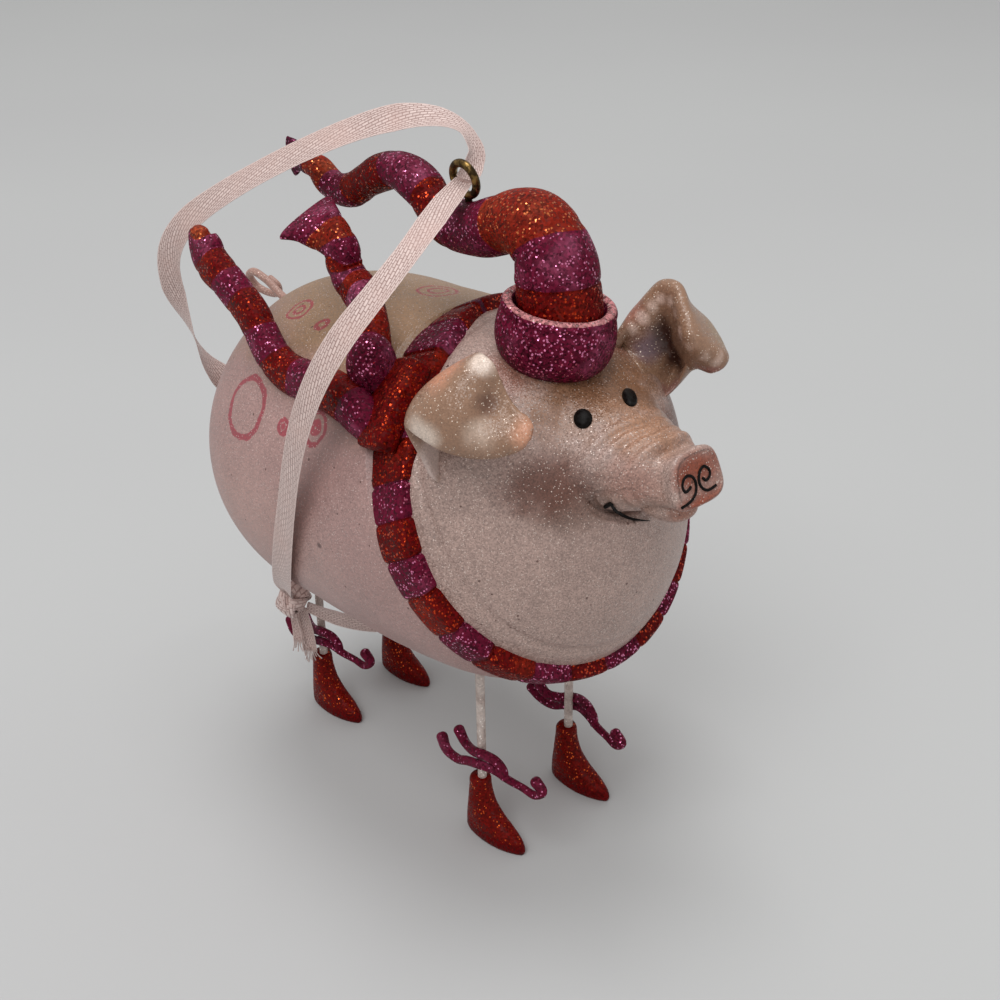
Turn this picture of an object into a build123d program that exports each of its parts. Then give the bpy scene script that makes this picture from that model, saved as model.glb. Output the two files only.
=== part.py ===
from build123d import *
import os
from math import cos, pi, radians, sin, tan

os.makedirs("parts", exist_ok=True)

# The pig stands along X and looks towards +X, its left side is +Y, and the soles are at height zero.
# Overall size
overall_length = 140.0
nose_x = overall_length / 2
tail_x = -overall_length / 2
glue_gap = 0.15                 # clearance left for glue between two castings
cutter_overrun = 20.0

# Torso: a hollow barrel on a slightly pitched axis
barrel_length_share = 0.3686     # half length of the barrel, as a share of the overall length
barrel_half_length = overall_length * barrel_length_share
barrel_radius = 36.8
barrel_height = 75.8            # height of the barrel's middle
barrel_pitch = 4.5              # degrees, nose up
barrel_x = 0
rump_roundness = 4.4            # exponents of the barrel's profile
breast_roundness = 3.4
torso_wall = 5.5
profile_steps = 16

# Collar: an elliptical band in a plane that leans back over the barrel
collar_gap_share = 0.3014       # from the band's middle to the tip of the nose, of the overall length
collar_nose_gap = overall_length * collar_gap_share
collar_lift = 6.5               # the band's middle lies above the barrel's
collar_height = barrel_height + collar_lift
collar_pitch = 31.7             # degrees, nose up
collar_up_share = 1.0462        # outer half sizes as shares of the barrel's radius
collar_side_share = 0.9891
collar_outer_up = barrel_radius * collar_up_share
collar_outer_side = barrel_radius * collar_side_share
collar_thickness = 3.9
collar_back = 3.6               # how far the band reaches behind the joint between torso and head
collar_front = 2.4
collar_rounding = 1.1

# Head: a domed face closing the torso's mouth
dome_rise_share = 0.7038        # of the gap between the band and the tip of the nose
dome_rise = collar_nose_gap * dome_rise_share
dome_set_in_up = 2.4            # from the band's outside in to the dome's widest line
dome_set_in_side = 2.7
dome_up = collar_outer_up - dome_set_in_up
dome_side = collar_outer_side - dome_set_in_side
dome_lift = 2.4                 # the crown of the dome lies above the collar's middle
dome_sharpness = 1.52           # exponent of the dome's profile
dome_wall = 5.0
dome_section_shares = [0.0, 0.1, 0.28, 0.5, 0.72, 0.89, 0.975]
spigot_length = 5.0
spigot_set_in_up = 11.5
spigot_set_in_side = 7.9
spigot_up = collar_outer_up - spigot_set_in_up
spigot_side = collar_outer_side - spigot_set_in_side

# Muzzle and nose
nose_lift_share = 0.431         # from the band's middle up to the nose, of the band's half height
nose_height = collar_height + collar_outer_up * nose_lift_share
nose_half_width = 6.3
nose_half_height = 5.3
nose_tilt = 19.0                # degrees, the flat of the nose looks up
muzzle_length_share = 0.5925    # of the gap between the band and the tip of the nose
muzzle_length = collar_nose_gap * muzzle_length_share
muzzle_root_half_width = 11.5
muzzle_root_half_height = 8.6
muzzle_neck_share = 0.84        # width just behind the nose, as a share of the nose
# Corner rounding of the muzzle's sections from the root to the nose, as shares of the half height
muzzle_corner_shares = [0.96, 0.9, 0.7, 0.55]
lip_radius = 3.6
lip_setback = 6.2
lip_drop = 5.6

# Ears: leaves that rise from the head and fold forwards
ear_thickness = 2.4
ear_reach = 15.0                # from the root forwards to the tip
ear_spread = 13.5               # from the root outwards to the middle of the fold
ear_rise = 9.6                  # from the root's middle up to the middle of the fold
ear_width = 18.6
ear_root_ahead = 9.0            # from the band's middle forwards to the ear's root
ear_side_share = 0.4629         # root's place out from the middle, of the dome's half width
ear_lift_share = 0.6208         # root's place up from the band's middle, of the band's half height
ear_root_side = dome_side * ear_side_share
ear_root_height = collar_height + collar_outer_up * ear_lift_share
ear_peg_length = 9.0
# Sections from the root to the tip: shares of reach, spread and rise, the direction of the
# section's width, then its width and thickness as shares
ear_shares = [
    (0.0, 0.0, 0.0, (-7.5, -5.5, 14.4), 0.76, 1.2), (0.04, 0.36, 0.28, (-4.6, -7.2, 13.9), 0.83, 1.1),
    (0.05, 0.72, 0.65, (-0.8, -11.4, 12.2), 0.88, 1.0), (0.02, 0.99, 0.99, (2.8, -15.8, 9.8), 0.98, 1.05),
    (0.30, 0.98, 0.86, (2.6, -12.0, 11.0), 0.93, 1.0), (0.60, 0.82, 0.56, (1.8, -7.5, 11.2), 0.70, 0.95),
    (0.86, 0.67, 0.44, (1.4, -4.0, 9.0), 0.40, 0.9), (1.0, 0.60, 0.42, (1.0, -2.0, 6.0), 0.12, 0.6),
]

# Hat: a cuff on the forehead and a serpentine peak that waves backwards
cuff_ahead = 5.9                # from the band's middle forwards to the cuff's
cuff_lift_share = 0.9844        # middle of its rim above the band's middle, of the band's half height
cuff_height = collar_height + collar_outer_up * cuff_lift_share
cuff_rim_radius = 10.3
cuff_depth = 9.6
# Sections of the cuff: drop as a share of the depth, radius as a share of the rim's
cuff_shares = [(0.0, 1.0), (0.42, 1.08), (0.85, 1.08), (1.18, 0.97), (1.5, 0.82)]
cuff_lean_forward = 6.0         # degrees
cuff_lean_side = 4.0
cuff_rounding = 0.9
peak_base_radius = 7.6
peak_reach = 82.0               # from the foot of the peak back to its tip
peak_rise = 20.0                # from the foot of the peak up to the highest point of its middle line
peak_foot_drop = 3.8            # from the cuff's rim down to the foot of the peak
peak_foot_height = cuff_height - peak_foot_drop
peak_root_depth = 8.0           # how far the peak reaches down inside the cuff
peak_root_shares = [1.0, 0.5]
peak_fan_half_height = 4.4
peak_fan_half_thickness = 0.8
# Places along the peak: share of its reach, share of its rise, share of its base radius
peak_shares = [
    (0.0, 0.0, 1.04), (0.001, 0.22, 1.02), (0.009, 0.43, 1.0), (0.017, 0.62, 0.99), (0.036, 0.77, 0.97),
    (0.072, 0.89, 0.9), (0.128, 0.905, 0.78), (0.193, 0.80, 0.66), (0.254, 0.68, 0.6), (0.324, 0.615, 0.57),
    (0.376, 0.67, 0.56), (0.417, 0.78, 0.54), (0.452, 0.895, 0.52), (0.50, 0.975, 0.5), (0.552, 1.0, 0.48),
    (0.612, 0.925, 0.46), (0.674, 0.79, 0.44), (0.742, 0.625, 0.42), (0.801, 0.59, 0.40), (0.842, 0.635, 0.36),
    (0.874, 0.725, 0.31), (0.922, 0.77, 0.27),
]
# The fan at its tip: share of the reach, share of the rise, shares of the fan's height and thickness
fan_shares = [(0.955, 0.77, 0.62, 1.6), (0.99, 0.76, 1.0, 1.0)]

# Screw eye: a ring on a shank driven down into the peak
eye_outer_radius = 3.95
eye_wire_radius = 0.8
eye_behind_cuff = 25.5
eye_side = 1.9                  # foot of the shank, left of the middle
eye_lean = 11.5                 # degrees, towards the right
eye_neck = 2.2                  # bare shank between the ring and the peak
eye_thread_length = 4.6

# Scarf knot and tails
knot_angle = 41.67              # degrees round the band from its top
knot_out_share = 1.0744         # its middle lies this far out, of the band's half sizes
knot_back = 3.0
knot_radius = 4.7
wrap_radius = 4.3
wrap_ahead = 5.0                # middle of the wrap, ahead of and below the knot's ball
wrap_outward = 2.0
wrap_drop = 3.4
tail_thickness = 6.0
# Places along each scarf tail in shares of its back reach, side swing and rise from the knot,
# then the width and the thickness as shares
upper_tail_reach = 39.6
upper_tail_swing = 11.0
upper_tail_rise = 19.5
upper_tail_shares = [
    (0.03, 0.08, 0.1, 1.0, 1.0), (0.08, 0.2, 0.26, 1.0, 1.0), (0.14, 0.36, 0.42, 1.0, 1.0),
    (0.24, 0.52, 0.53, 1.0, 1.0), (0.35, 0.66, 0.62, 1.05, 1.05), (0.415, 0.77, 0.75, 1.02, 1.0),
    (0.44, 0.86, 0.885, 1.0, 1.0), (0.51, 0.95, 0.975, 0.98, 0.95), (0.645, 1.0, 1.0, 1.0, 0.9),
    (0.80, 1.0, 0.965, 1.12, 0.8),
    (0.93, 1.0, 0.90, 1.3, 0.66), (1.0, 1.0, 0.85, 1.42, 0.5),
]
lower_tail_reach = 55.0
lower_tail_swing = 2.4
lower_tail_rise = 14.0
lower_tail_shares = [
    (0.02, -0.3, -0.12, 1.0, 1.0), (0.08, -0.8, -0.33, 1.0, 1.0), (0.19, -0.9, -0.42, 1.05, 1.0),
    (0.30, -0.75, -0.45, 1.05, 1.0),
    (0.415, -0.75, -0.44, 1.05, 1.0), (0.50, -0.7, -0.30, 1.02, 1.0), (0.575, -0.5, -0.08, 1.0, 1.0),
    (0.65, -0.3, 0.16, 1.0, 1.0), (0.74, -0.1, 0.34, 1.0, 1.0), (0.835, 0.0, 0.53, 1.0, 1.0),
    (0.925, 0.15, 0.69, 0.97, 0.95), (0.985, 0.3, 0.86, 0.85, 0.85), (1.0, 0.4, 1.0, 0.55, 0.6),
    (0.985, 0.45, 1.09, 0.2, 0.4),
]
upper_tail_width = 7.4
lower_tail_width = 7.8

# Curled tail of the pig
curl_radius = 0.9
curl_lift_share = 0.6848        # top of its middle line above the barrel's middle, of the barrel's radius
curl_height = barrel_height + barrel_radius * curl_lift_share
curl_drop = 5.6
curl_side = 2.2
curl_root_depth = 7.0
curl_root_drop = 4.4            # the root lies this far below the top of the curl
# Places along the curl: share of the way from the rump to the far end, share of the side, share of the drop
curl_shares = [
    (0.30, 0.0, 0.62), (0.66, -0.3, 0.0), (1.0, -0.6, 0.14), (1.0, 0.45, 0.86), (0.72, 1.0, 1.0),
    (0.46, 0.8, 0.55), (0.56, 0.35, 0.1),
]

# Legs
front_leg_share = 0.3307        # from the wire back from the tip of the nose, of the overall length
wheelbase_share = 0.43
front_track = 25.5
rear_track = 21.2
leg_wire_radius = 0.95
leg_wire_gap = 0.05
boss_radius = 3.0
front_top_share = 0.5788        # wires end this far below the barrel's middle, of its radius
rear_top_share = 0.6467
front_leg_top = barrel_height - barrel_radius * front_top_share
rear_leg_top = barrel_height - barrel_radius * rear_top_share

# Boots
sole_length = 16.4
sole_half_width = 2.9
boot_height = 15.1
boot_heel_setback = 4.4         # from the wire back to the heel
boot_turn = 5.0                 # degrees, towards the left
boot_hole_depth = 10.5
# Level as a share of the height, then back end, front end and half width as shares
boot_shares = [
    (0.0, 0.02, 0.985, 0.9), (0.06, 0.0, 1.0, 1.0), (0.16, 0.0, 0.965, 0.98), (0.28, 0.01, 0.80, 0.95),
    (0.42, 0.03, 0.60, 0.90), (0.60, 0.055, 0.45, 0.84), (0.80, 0.08, 0.395, 0.78), (1.0, 0.10, 0.37, 0.74),
]

# Bows: two curled strands laid along the outside of each leg wire
strand_radius = 1.15
bow_length = 30.0
bow_height = 5.0
bow_level = 16.5                # height of the bow's lowest middle line
bow_flare = 3.0                 # how far a bow draws inwards along its length
bow_seat = 0.25                 # how deep a strand is let on to the wire
# Share of the length ahead of the wire, share of the bow's height, share of its flare inwards
long_strand_shares = [
    (-0.43, 0.42, 0.43), (-0.37, 0.08, 0.27), (-0.23, 0.0, 0.2), (-0.10, 0.36, 0.1), (0.05, 0.70, 0.0),
    (0.17, 0.76, 0.27), (0.30, 0.58, 0.53), (0.42, 0.54, 0.73), (0.54, 0.62, 0.9), (0.605, 1.2, 1.0),
    (0.50, 1.5, 1.0),
]
short_strand_shares = [
    (-0.29, 1.10, 0.93), (-0.22, 0.82, 0.8), (-0.12, 0.86, 0.5), (-0.02, 1.08, 0.2), (0.09, 1.26, 0.2),
    (0.19, 1.22, 0.36), (0.25, 0.95, 0.45), (0.26, 0.62, 0.47),
]

# Wire pegs that hold the glued castings
peg_radius = 0.8
hat_peg_length = 12.0
hat_peg_drop = 13.2             # from the cuff's rim down to its lower end, inside the forehead
knot_peg_length = 8.0
tail_peg_length = 6.0
tail_peg_setback = 2.0          # from the knot's middle to the peg's near end

# Ribbon: a limp band drawn here as a round cord of the same section area
ribbon_radius = 0.78
bead_radius = 3.2
bead_length = 5.0
# Places in millimetres along each free stretch
near_route = [
    (10.3, -6.0, 137.4), (13.2, -12.5, 135.3), (15.6, -20.5, 131.4), (15.4, -28.0, 125.6), (13.0, -34.0, 118.8),
    (9.9, -37.8, 110.8), (6.2, -39.6, 101.4), (2.4, -39.9, 90.9), (-1.3, -39.4, 80.3), (-6.8, -37.8, 67.8),
    (-16.0, -33.0, 54.3), (-27.0, -26.2, 43.6), (-34.6, -20.2, 36.4),
]
far_route = [
    (-34.0, -15.8, 31.6), (-28.0, -12.0, 29.4), (-21.5, -6.5, 28.2), (-14.5, 1.5, 27.8), (-9.0, 11.0, 29.5),
    (-7.5, 22.0, 34.5), (-10.0, 31.5, 42.5), (-18.0, 37.5, 51.0), (-30.0, 38.5, 58.5), (-44.0, 33.5, 63.5),
    (-56.0, 21.5, 66.5), (-64.0, 7.0, 68.5), (-68.6, -6.0, 72.0), (-70.2, -13.8, 80.0), (-69.3, -17.4, 90.5),
    (-68.6, -21.0, 101.0), (-66.6, -22.4, 110.5), (-61.4, -20.8, 118.2), (-53.0, -17.8, 124.8),
    (-42.2, -13.9, 131.7), (-31.4, -9.2, 138.0), (-22.0, -3.8, 143.0), (-13.8, 1.2, 146.3), (-5.8, 5.2, 147.3),
    (1.8, 7.0, 145.4),
]
long_end_route = [(-36.6, -15.9, 30.8), (-36.2, -15.6, 27.0), (-35.4, -15.2, 22.6), (-34.9, -15.4, 18.2)]
short_end_route = [(-38.6, -16.9, 30.6), (-39.3, -16.6, 26.6), (-38.9, -16.4, 22.4), (-37.6, -16.6, 19.0)]
bead_height = 33.4
bead_behind_leg = 0.3
bead_beside_leg = 7.2
bead_direction = Vector(0.75, 0.35, -0.55)
run_share = 0.45                # of the shorter run at a corner, which its arc takes up


def shape_collar_plane(rise=0.0, lift=0.0):
    """Plane across the torso's mouth, moved out along its normal and up within itself."""
    pitch = radians(collar_pitch)
    middle = Vector(nose_x - collar_nose_gap, 0, collar_height)
    normal = Vector(cos(pitch), 0, sin(pitch))
    upward = Vector(-sin(pitch), 0, cos(pitch))
    return Plane(origin=middle + normal * rise + upward * lift, x_dir=upward, z_dir=normal)


def shape_barrel(half_length, radius):
    """Half outline of the barrel: a rounded box curve that is blunter at the rump."""
    points = []
    for step in range(profile_steps + 1):
        turn = pi * step / profile_steps
        power = 2 / (breast_roundness if cos(turn) > 0 else rump_roundness)
        side = 1 if cos(turn) > 0 else -1
        points.append((half_length * side * abs(cos(turn)) ** power, radius * abs(sin(turn)) ** power))
    points[0] = (half_length, 0)
    points[-1] = (-half_length, 0)
    return points


def dome_sections(inset):
    """Rise, up radius and side radius of each section of the face, drawn in by inset."""
    seat_up = collar_outer_up - collar_thickness - glue_gap - inset
    seat_side = collar_outer_side - collar_thickness - glue_gap - inset
    sections = []
    for share in dome_section_shares:
        width_share = (1 - share ** dome_sharpness) ** (1 / dome_sharpness)
        up = min((dome_up - inset) * width_share, seat_up)
        side = min((dome_side - inset) * width_share, seat_side)
        sections.append(((dome_rise - inset) * share, up, side, dome_lift * (1 - width_share ** 2)))
    return sections


def along(points, place):
    """Direction of a path at one of its points."""
    before = points[max(place - 1, 0)]
    after = points[min(place + 1, len(points) - 1)]
    return (after - before).normalized()


def corner_radii(points):
    """Arc radius for each corner: a share of the shorter run over the tangent of half the turn."""
    radii = []
    for before, corner, after in zip(points, points[1:], points[2:]):
        run_in = corner - before
        run_out = after - corner
        turn = radians(run_in.get_angle(run_out))
        radii.append(run_share * min(run_in.length, run_out.length) / tan(turn / 2))
    return radii


def finish(block, name):
    block.part.label = name
    export_step(block.part, f"parts/{name}.step")


barrel_turn = radians(barrel_pitch)
barrel_plane = Plane(
    origin=(barrel_x, 0, barrel_height), x_dir=(cos(barrel_turn), 0, sin(barrel_turn)), z_dir=(0, -1, 0)
)
barrel_axis = Axis((barrel_x, 0, barrel_height), (cos(barrel_turn), 0, sin(barrel_turn)))
collar_inner_up = collar_outer_up - collar_thickness
collar_inner_side = collar_outer_side - collar_thickness

front_leg_x = nose_x - overall_length * front_leg_share
rear_leg_x = front_leg_x - overall_length * wheelbase_share
legs = {
    "front_right": (front_leg_x, -front_track / 2, front_leg_top),
    "front_left": (front_leg_x, front_track / 2, front_leg_top),
    "rear_right": (rear_leg_x, -rear_track / 2, rear_leg_top),
    "rear_left": (rear_leg_x, rear_track / 2, rear_leg_top),
}


def trim(*blocks):
    """Cut finished neighbours out of the piece that is being built."""
    for block in blocks:
        add(block.part, mode=Mode.SUBTRACT)


def other_side(plane):
    """The same plane on the other side of the pig."""
    origin = plane.origin
    way = plane.z_dir
    return Plane(origin=(origin.X, -origin.Y, origin.Z), z_dir=(way.X, -way.Y, way.Z))


def peak_height_at(place_x):
    """Height of the peak's middle line, and its radius, at a place along X."""
    share = (cuff_x - place_x) / peak_reach
    for low, high in zip(peak_shares, peak_shares[1:]):
        if low[0] <= share <= high[0]:
            part_way = (share - low[0]) / (high[0] - low[0])
            rise = low[1] + (high[1] - low[1]) * part_way
            radius = low[2] + (high[2] - low[2]) * part_way
            return peak_foot_height + rise * peak_rise, radius * peak_base_radius


def build_tube(points, radius):
    """Round tube along straight runs joined by tangent arcs, for the block that calls it."""
    points = [Vector(*point) for point in points]
    with BuildLine():
        path = FilletPolyline(*points, radius=corner_radii(points))
    with BuildSketch(Plane(origin=path @ 0, z_dir=path % 0)) as section:
        Circle(radius)
    sweep(sections=section.sketch, path=path)
    return path.length


def report_cord(name, block, points, length):
    points = [Vector(*point) for point in points]
    radii = corner_radii(points)
    section = pi * ribbon_radius ** 2
    print(name, "length", round(length, 1), "volume share", round(block.part.volume / (section * length), 4))
    print("  arc radii", [round(radius, 1) for radius in radii])


# Places that more than one piece shares
collar_middle = Vector(nose_x - collar_nose_gap, 0, collar_height)
cuff_x = collar_middle.X + cuff_ahead
cuff_rim = Vector(cuff_x, 0, cuff_height)
cuff_axis = Vector(tan(radians(cuff_lean_forward)), tan(radians(cuff_lean_side)), 1).normalized()
hat_peg_plane = Plane(origin=(cuff_x, 0, cuff_height - hat_peg_drop))
knot_turn = radians(knot_angle)
knot_up = collar_outer_up * knot_out_share * cos(knot_turn)
knot_side = collar_outer_side * knot_out_share * sin(knot_turn)
knot_middle = shape_collar_plane(-knot_back, knot_up).origin - Vector(0, knot_side, 0)
knot_inward = (Vector(knot_middle.X, 0, barrel_height) - knot_middle).normalized()
knot_peg_plane = Plane(origin=knot_middle, z_dir=knot_inward)
rump_x = barrel_x - barrel_half_length * cos(barrel_turn)
curl_root = Vector(rump_x + curl_root_depth, 0, curl_height - curl_root_drop)
eye_x = cuff_x - eye_behind_cuff
eye_upward = Vector(0, -sin(radians(eye_lean)), cos(radians(eye_lean)))
peak_middle_z, peak_radius_there = peak_height_at(eye_x)
eye_foot = Vector(eye_x, eye_side, peak_middle_z) + eye_upward * peak_radius_there
eye_middle = eye_foot + eye_upward * (eye_neck + eye_outer_radius)

ear_root = Vector(collar_middle.X + ear_root_ahead, ear_root_side, ear_root_height)
ear_sections = []
for ahead, outward, upward, width_way, width, thickness in ear_shares:
    place = ear_root + Vector(ahead * ear_reach, outward * ear_spread, upward * ear_rise)
    way = Vector(*width_way).normalized()
    ear_sections.append((place, way, width * ear_width / 2, thickness * ear_thickness / 2))
ear_middles = [section[0] for section in ear_sections]
ear_outward = (ear_middles[2] - ear_middles[0]).normalized()
ear_peg_plane = Plane(origin=ear_root - ear_outward * ear_peg_length / 2, z_dir=ear_outward)

# Hollow of the torso, which leaves a boss round each leg wire
with BuildPart() as torso_hollow:
    with BuildSketch(barrel_plane):
        with BuildLine():
            hollow = shape_barrel(barrel_half_length - torso_wall, barrel_radius - torso_wall)
            Spline(*hollow, tangents=[(0, 1), (0, -1)])
            Line(hollow[-1], hollow[0])
        make_face()
    revolve(axis=barrel_axis)
    for leg_x, leg_y, leg_top in legs.values():
        with BuildSketch(Plane.XY):
            with Locations((leg_x, leg_y)):
                Circle(boss_radius)
        extrude(amount=leg_top, mode=Mode.SUBTRACT)

# Torso, with holes for the leg wires, the tail and the knot's peg
with BuildPart() as torso:
    with BuildSketch(barrel_plane):
        with BuildLine():
            outline = shape_barrel(barrel_half_length, barrel_radius)
            Spline(*outline, tangents=[(0, 1), (0, -1)])
            Line(outline[-1], outline[0])
        make_face()
    revolve(axis=barrel_axis)
    trim(torso_hollow)
    for leg_x, leg_y, leg_top in legs.values():
        with BuildSketch(Plane.XY):
            with Locations((leg_x, leg_y)):
                Circle(leg_wire_radius + leg_wire_gap)
        extrude(amount=leg_top, mode=Mode.SUBTRACT)
    split(bisect_by=shape_collar_plane(), keep=Keep.BOTTOM)
    with BuildSketch(shape_collar_plane(-collar_back - glue_gap)):
        Circle(collar_outer_up + cutter_overrun)
        Ellipse(collar_inner_up - glue_gap, collar_inner_side - glue_gap, mode=Mode.SUBTRACT)
    extrude(amount=collar_back + cutter_overrun, mode=Mode.SUBTRACT)
    with BuildSketch(knot_peg_plane):
        Circle(peg_radius + leg_wire_gap)
    extrude(amount=knot_peg_length, mode=Mode.SUBTRACT)
    with BuildSketch(Plane(origin=curl_root, z_dir=(-1, 0, 0))):
        Circle(curl_radius + leg_wire_gap)
    extrude(amount=cutter_overrun, mode=Mode.SUBTRACT)
finish(torso, "torso")

# Collar band
with BuildPart() as scarf_collar:
    with BuildSketch(shape_collar_plane(-collar_back)):
        Ellipse(collar_outer_up, collar_outer_side)
        Ellipse(collar_inner_up, collar_inner_side, mode=Mode.SUBTRACT)
    extrude(amount=collar_back + collar_front)
    fillet(scarf_collar.edges(), radius=collar_rounding)
finish(scarf_collar, "scarf_collar")

# The dome's own outer form, a glue gap larger, which trims what stands on the head
with BuildPart() as dome_allowance:
    for rise, up, side, lift in dome_sections(-glue_gap):
        with BuildSketch(shape_collar_plane(rise, lift)):
            Ellipse(up, side)
    loft()

# Head: dome, muzzle, nose and lower lip, hollow behind, with a spigot into the torso
nose_turn = radians(nose_tilt)
nose_normal = Vector(cos(nose_turn), 0, sin(nose_turn))
nose_middle = Vector(nose_x - nose_half_height * sin(nose_turn), 0, nose_height)
muzzle_root = Vector(nose_middle.X - muzzle_length, 0, nose_height)
muzzle_halfway = (muzzle_root + nose_middle) * 0.5
halfway_half_width = (muzzle_root_half_width + nose_half_width) / 2 * muzzle_neck_share
halfway_half_height = (muzzle_root_half_height + nose_half_height) / 2 * muzzle_neck_share
neck_half_width = nose_half_width * muzzle_neck_share
neck_half_height = nose_half_height * muzzle_neck_share
behind_nose = nose_middle - nose_normal * nose_half_height
muzzle_sections = [
    (muzzle_root, Vector(1, 0, 0), muzzle_root_half_width, muzzle_root_half_height),
    (muzzle_halfway, Vector(1, 0, 0), halfway_half_width, halfway_half_height),
    (behind_nose, nose_normal, neck_half_width, neck_half_height),
    (nose_middle, nose_normal, nose_half_width, nose_half_height),
]

with BuildPart() as head:
    for rise, up, side, lift in dome_sections(0.0):
        with BuildSketch(shape_collar_plane(rise, lift)):
            Ellipse(up, side)
    loft()
    for rise, up, side, lift in dome_sections(dome_wall):
        with BuildSketch(shape_collar_plane(rise, lift)):
            Ellipse(up, side)
    loft(mode=Mode.SUBTRACT)
    for (middle, way, half_width, half_height), corner_share in zip(muzzle_sections, muzzle_corner_shares):
        with BuildSketch(Plane(origin=middle, x_dir=(0, 1, 0), z_dir=way)):
            RectangleRounded(half_width * 2, half_height * 2, half_height * corner_share)
    loft()
    with Locations((nose_middle.X - lip_setback, 0, nose_height - lip_drop)):
        Sphere(lip_radius)
    with BuildSketch(shape_collar_plane(-spigot_length)):
        Ellipse(spigot_up, spigot_side)
        Ellipse(spigot_up - dome_wall, spigot_side - dome_wall, mode=Mode.SUBTRACT)
    extrude(amount=spigot_length + dome_wall)
    with BuildSketch(hat_peg_plane):
        Circle(peg_radius + leg_wire_gap)
    extrude(amount=hat_peg_length, mode=Mode.SUBTRACT)
    with BuildSketch(ear_peg_plane, other_side(ear_peg_plane)):
        Circle(peg_radius + leg_wire_gap)
    extrude(amount=ear_peg_length, mode=Mode.SUBTRACT)
finish(head, "head")

# Hat peak
peak_middles = []
peak_sizes = []
for depth in peak_root_shares:
    peak_middles.append(Vector(cuff_x, 0, peak_foot_height - depth * peak_root_depth))
    peak_sizes.append((peak_base_radius * peak_shares[0][2],) * 2)
for back, rise, size in peak_shares:
    peak_middles.append(Vector(cuff_x - back * peak_reach, 0, peak_foot_height + rise * peak_rise))
    peak_sizes.append((peak_base_radius * size,) * 2)
for back, rise, height, thickness in fan_shares:
    peak_middles.append(Vector(cuff_x - back * peak_reach, 0, peak_foot_height + rise * peak_rise))
    peak_sizes.append((peak_fan_half_thickness * thickness, peak_fan_half_height * height))
eye_shank_plane = Plane(origin=eye_middle - eye_upward * (eye_outer_radius - eye_wire_radius), z_dir=-eye_upward)
eye_shank_length = eye_wire_radius + eye_neck + eye_thread_length

with BuildPart() as hat_peak:
    for index, (middle, (across, tall)) in enumerate(zip(peak_middles, peak_sizes)):
        with BuildSketch(Plane(origin=middle, x_dir=(0, 1, 0), z_dir=along(peak_middles, index))):
            Ellipse(across, tall)
    loft()
    trim(dome_allowance)
    with BuildSketch(eye_shank_plane):
        Circle(eye_wire_radius + leg_wire_gap)
    extrude(amount=eye_shank_length, mode=Mode.SUBTRACT)
    with BuildSketch(hat_peg_plane):
        Circle(peg_radius + leg_wire_gap)
    extrude(amount=hat_peg_length, mode=Mode.SUBTRACT)
finish(hat_peak, "hat_peak")

# Hat cuff, cut to the forehead below and to the peak inside
with BuildPart() as hat_cuff:
    for drop, radius in cuff_shares:
        with BuildSketch(Plane(origin=cuff_rim - cuff_axis * (drop * cuff_depth), z_dir=cuff_axis)):
            Circle(radius * cuff_rim_radius)
    loft()
    fillet(hat_cuff.edges().group_by(Axis.Z)[-1], radius=cuff_rounding)
    trim(dome_allowance, hat_peak)
    with BuildSketch(hat_peg_plane):
        Circle(peg_radius + leg_wire_gap)
    extrude(amount=hat_peg_length, mode=Mode.SUBTRACT)
finish(hat_cuff, "hat_cuff")

# Ears
with BuildPart() as ear_left:
    for index, (middle, way, half_width, half_thickness) in enumerate(ear_sections):
        with BuildSketch(Plane(origin=middle, x_dir=way, z_dir=along(ear_middles, index))):
            Ellipse(half_width, half_thickness)
    loft()
    trim(dome_allowance, hat_cuff)
    with BuildSketch(ear_peg_plane):
        Circle(peg_radius + leg_wire_gap)
    extrude(amount=ear_peg_length, mode=Mode.SUBTRACT)
finish(ear_left, "ear_left")

with BuildPart() as ear_right:
    mirror(ear_left.part, about=Plane.XZ)
    trim(hat_cuff)
finish(ear_right, "ear_right")

with BuildPart() as ear_pegs:
    with BuildSketch(ear_peg_plane):
        Circle(peg_radius)
    extrude(amount=ear_peg_length)
    mirror(about=Plane.XZ)
finish(ear_pegs, "ear_pegs")

with BuildPart() as hat_peg:
    with BuildSketch(hat_peg_plane):
        Circle(peg_radius)
    extrude(amount=hat_peg_length)
finish(hat_peg, "hat_peg")

# Screw eye
with BuildPart() as screw_eye:
    with Locations(Plane(origin=eye_middle, x_dir=(1, 0, 0), z_dir=eye_upward.cross(Vector(1, 0, 0)))):
        Torus(eye_outer_radius - eye_wire_radius, eye_wire_radius)
    with BuildSketch(eye_shank_plane):
        Circle(eye_wire_radius)
    extrude(amount=eye_shank_length)
finish(screw_eye, "screw_eye")

# Scarf knot, with a hole for each peg
tails = (
    ("scarf_tail_upper", upper_tail_shares, upper_tail_reach, upper_tail_swing, upper_tail_rise, upper_tail_width),
    ("scarf_tail_lower", lower_tail_shares, lower_tail_reach, lower_tail_swing, lower_tail_rise, lower_tail_width),
)
tail_routes = {}
tail_peg_planes = []
for tail_name, tail_shares, reach, swing, rise, width in tails:
    middles = []
    for back, inward, upward, wide, thick in tail_shares:
        middles.append(knot_middle + Vector(-back * reach, inward * swing, upward * rise))
    tail_routes[tail_name] = middles
    way = (middles[1] - knot_middle).normalized()
    tail_peg_planes.append(Plane(origin=knot_middle + way * tail_peg_setback, z_dir=way))

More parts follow.
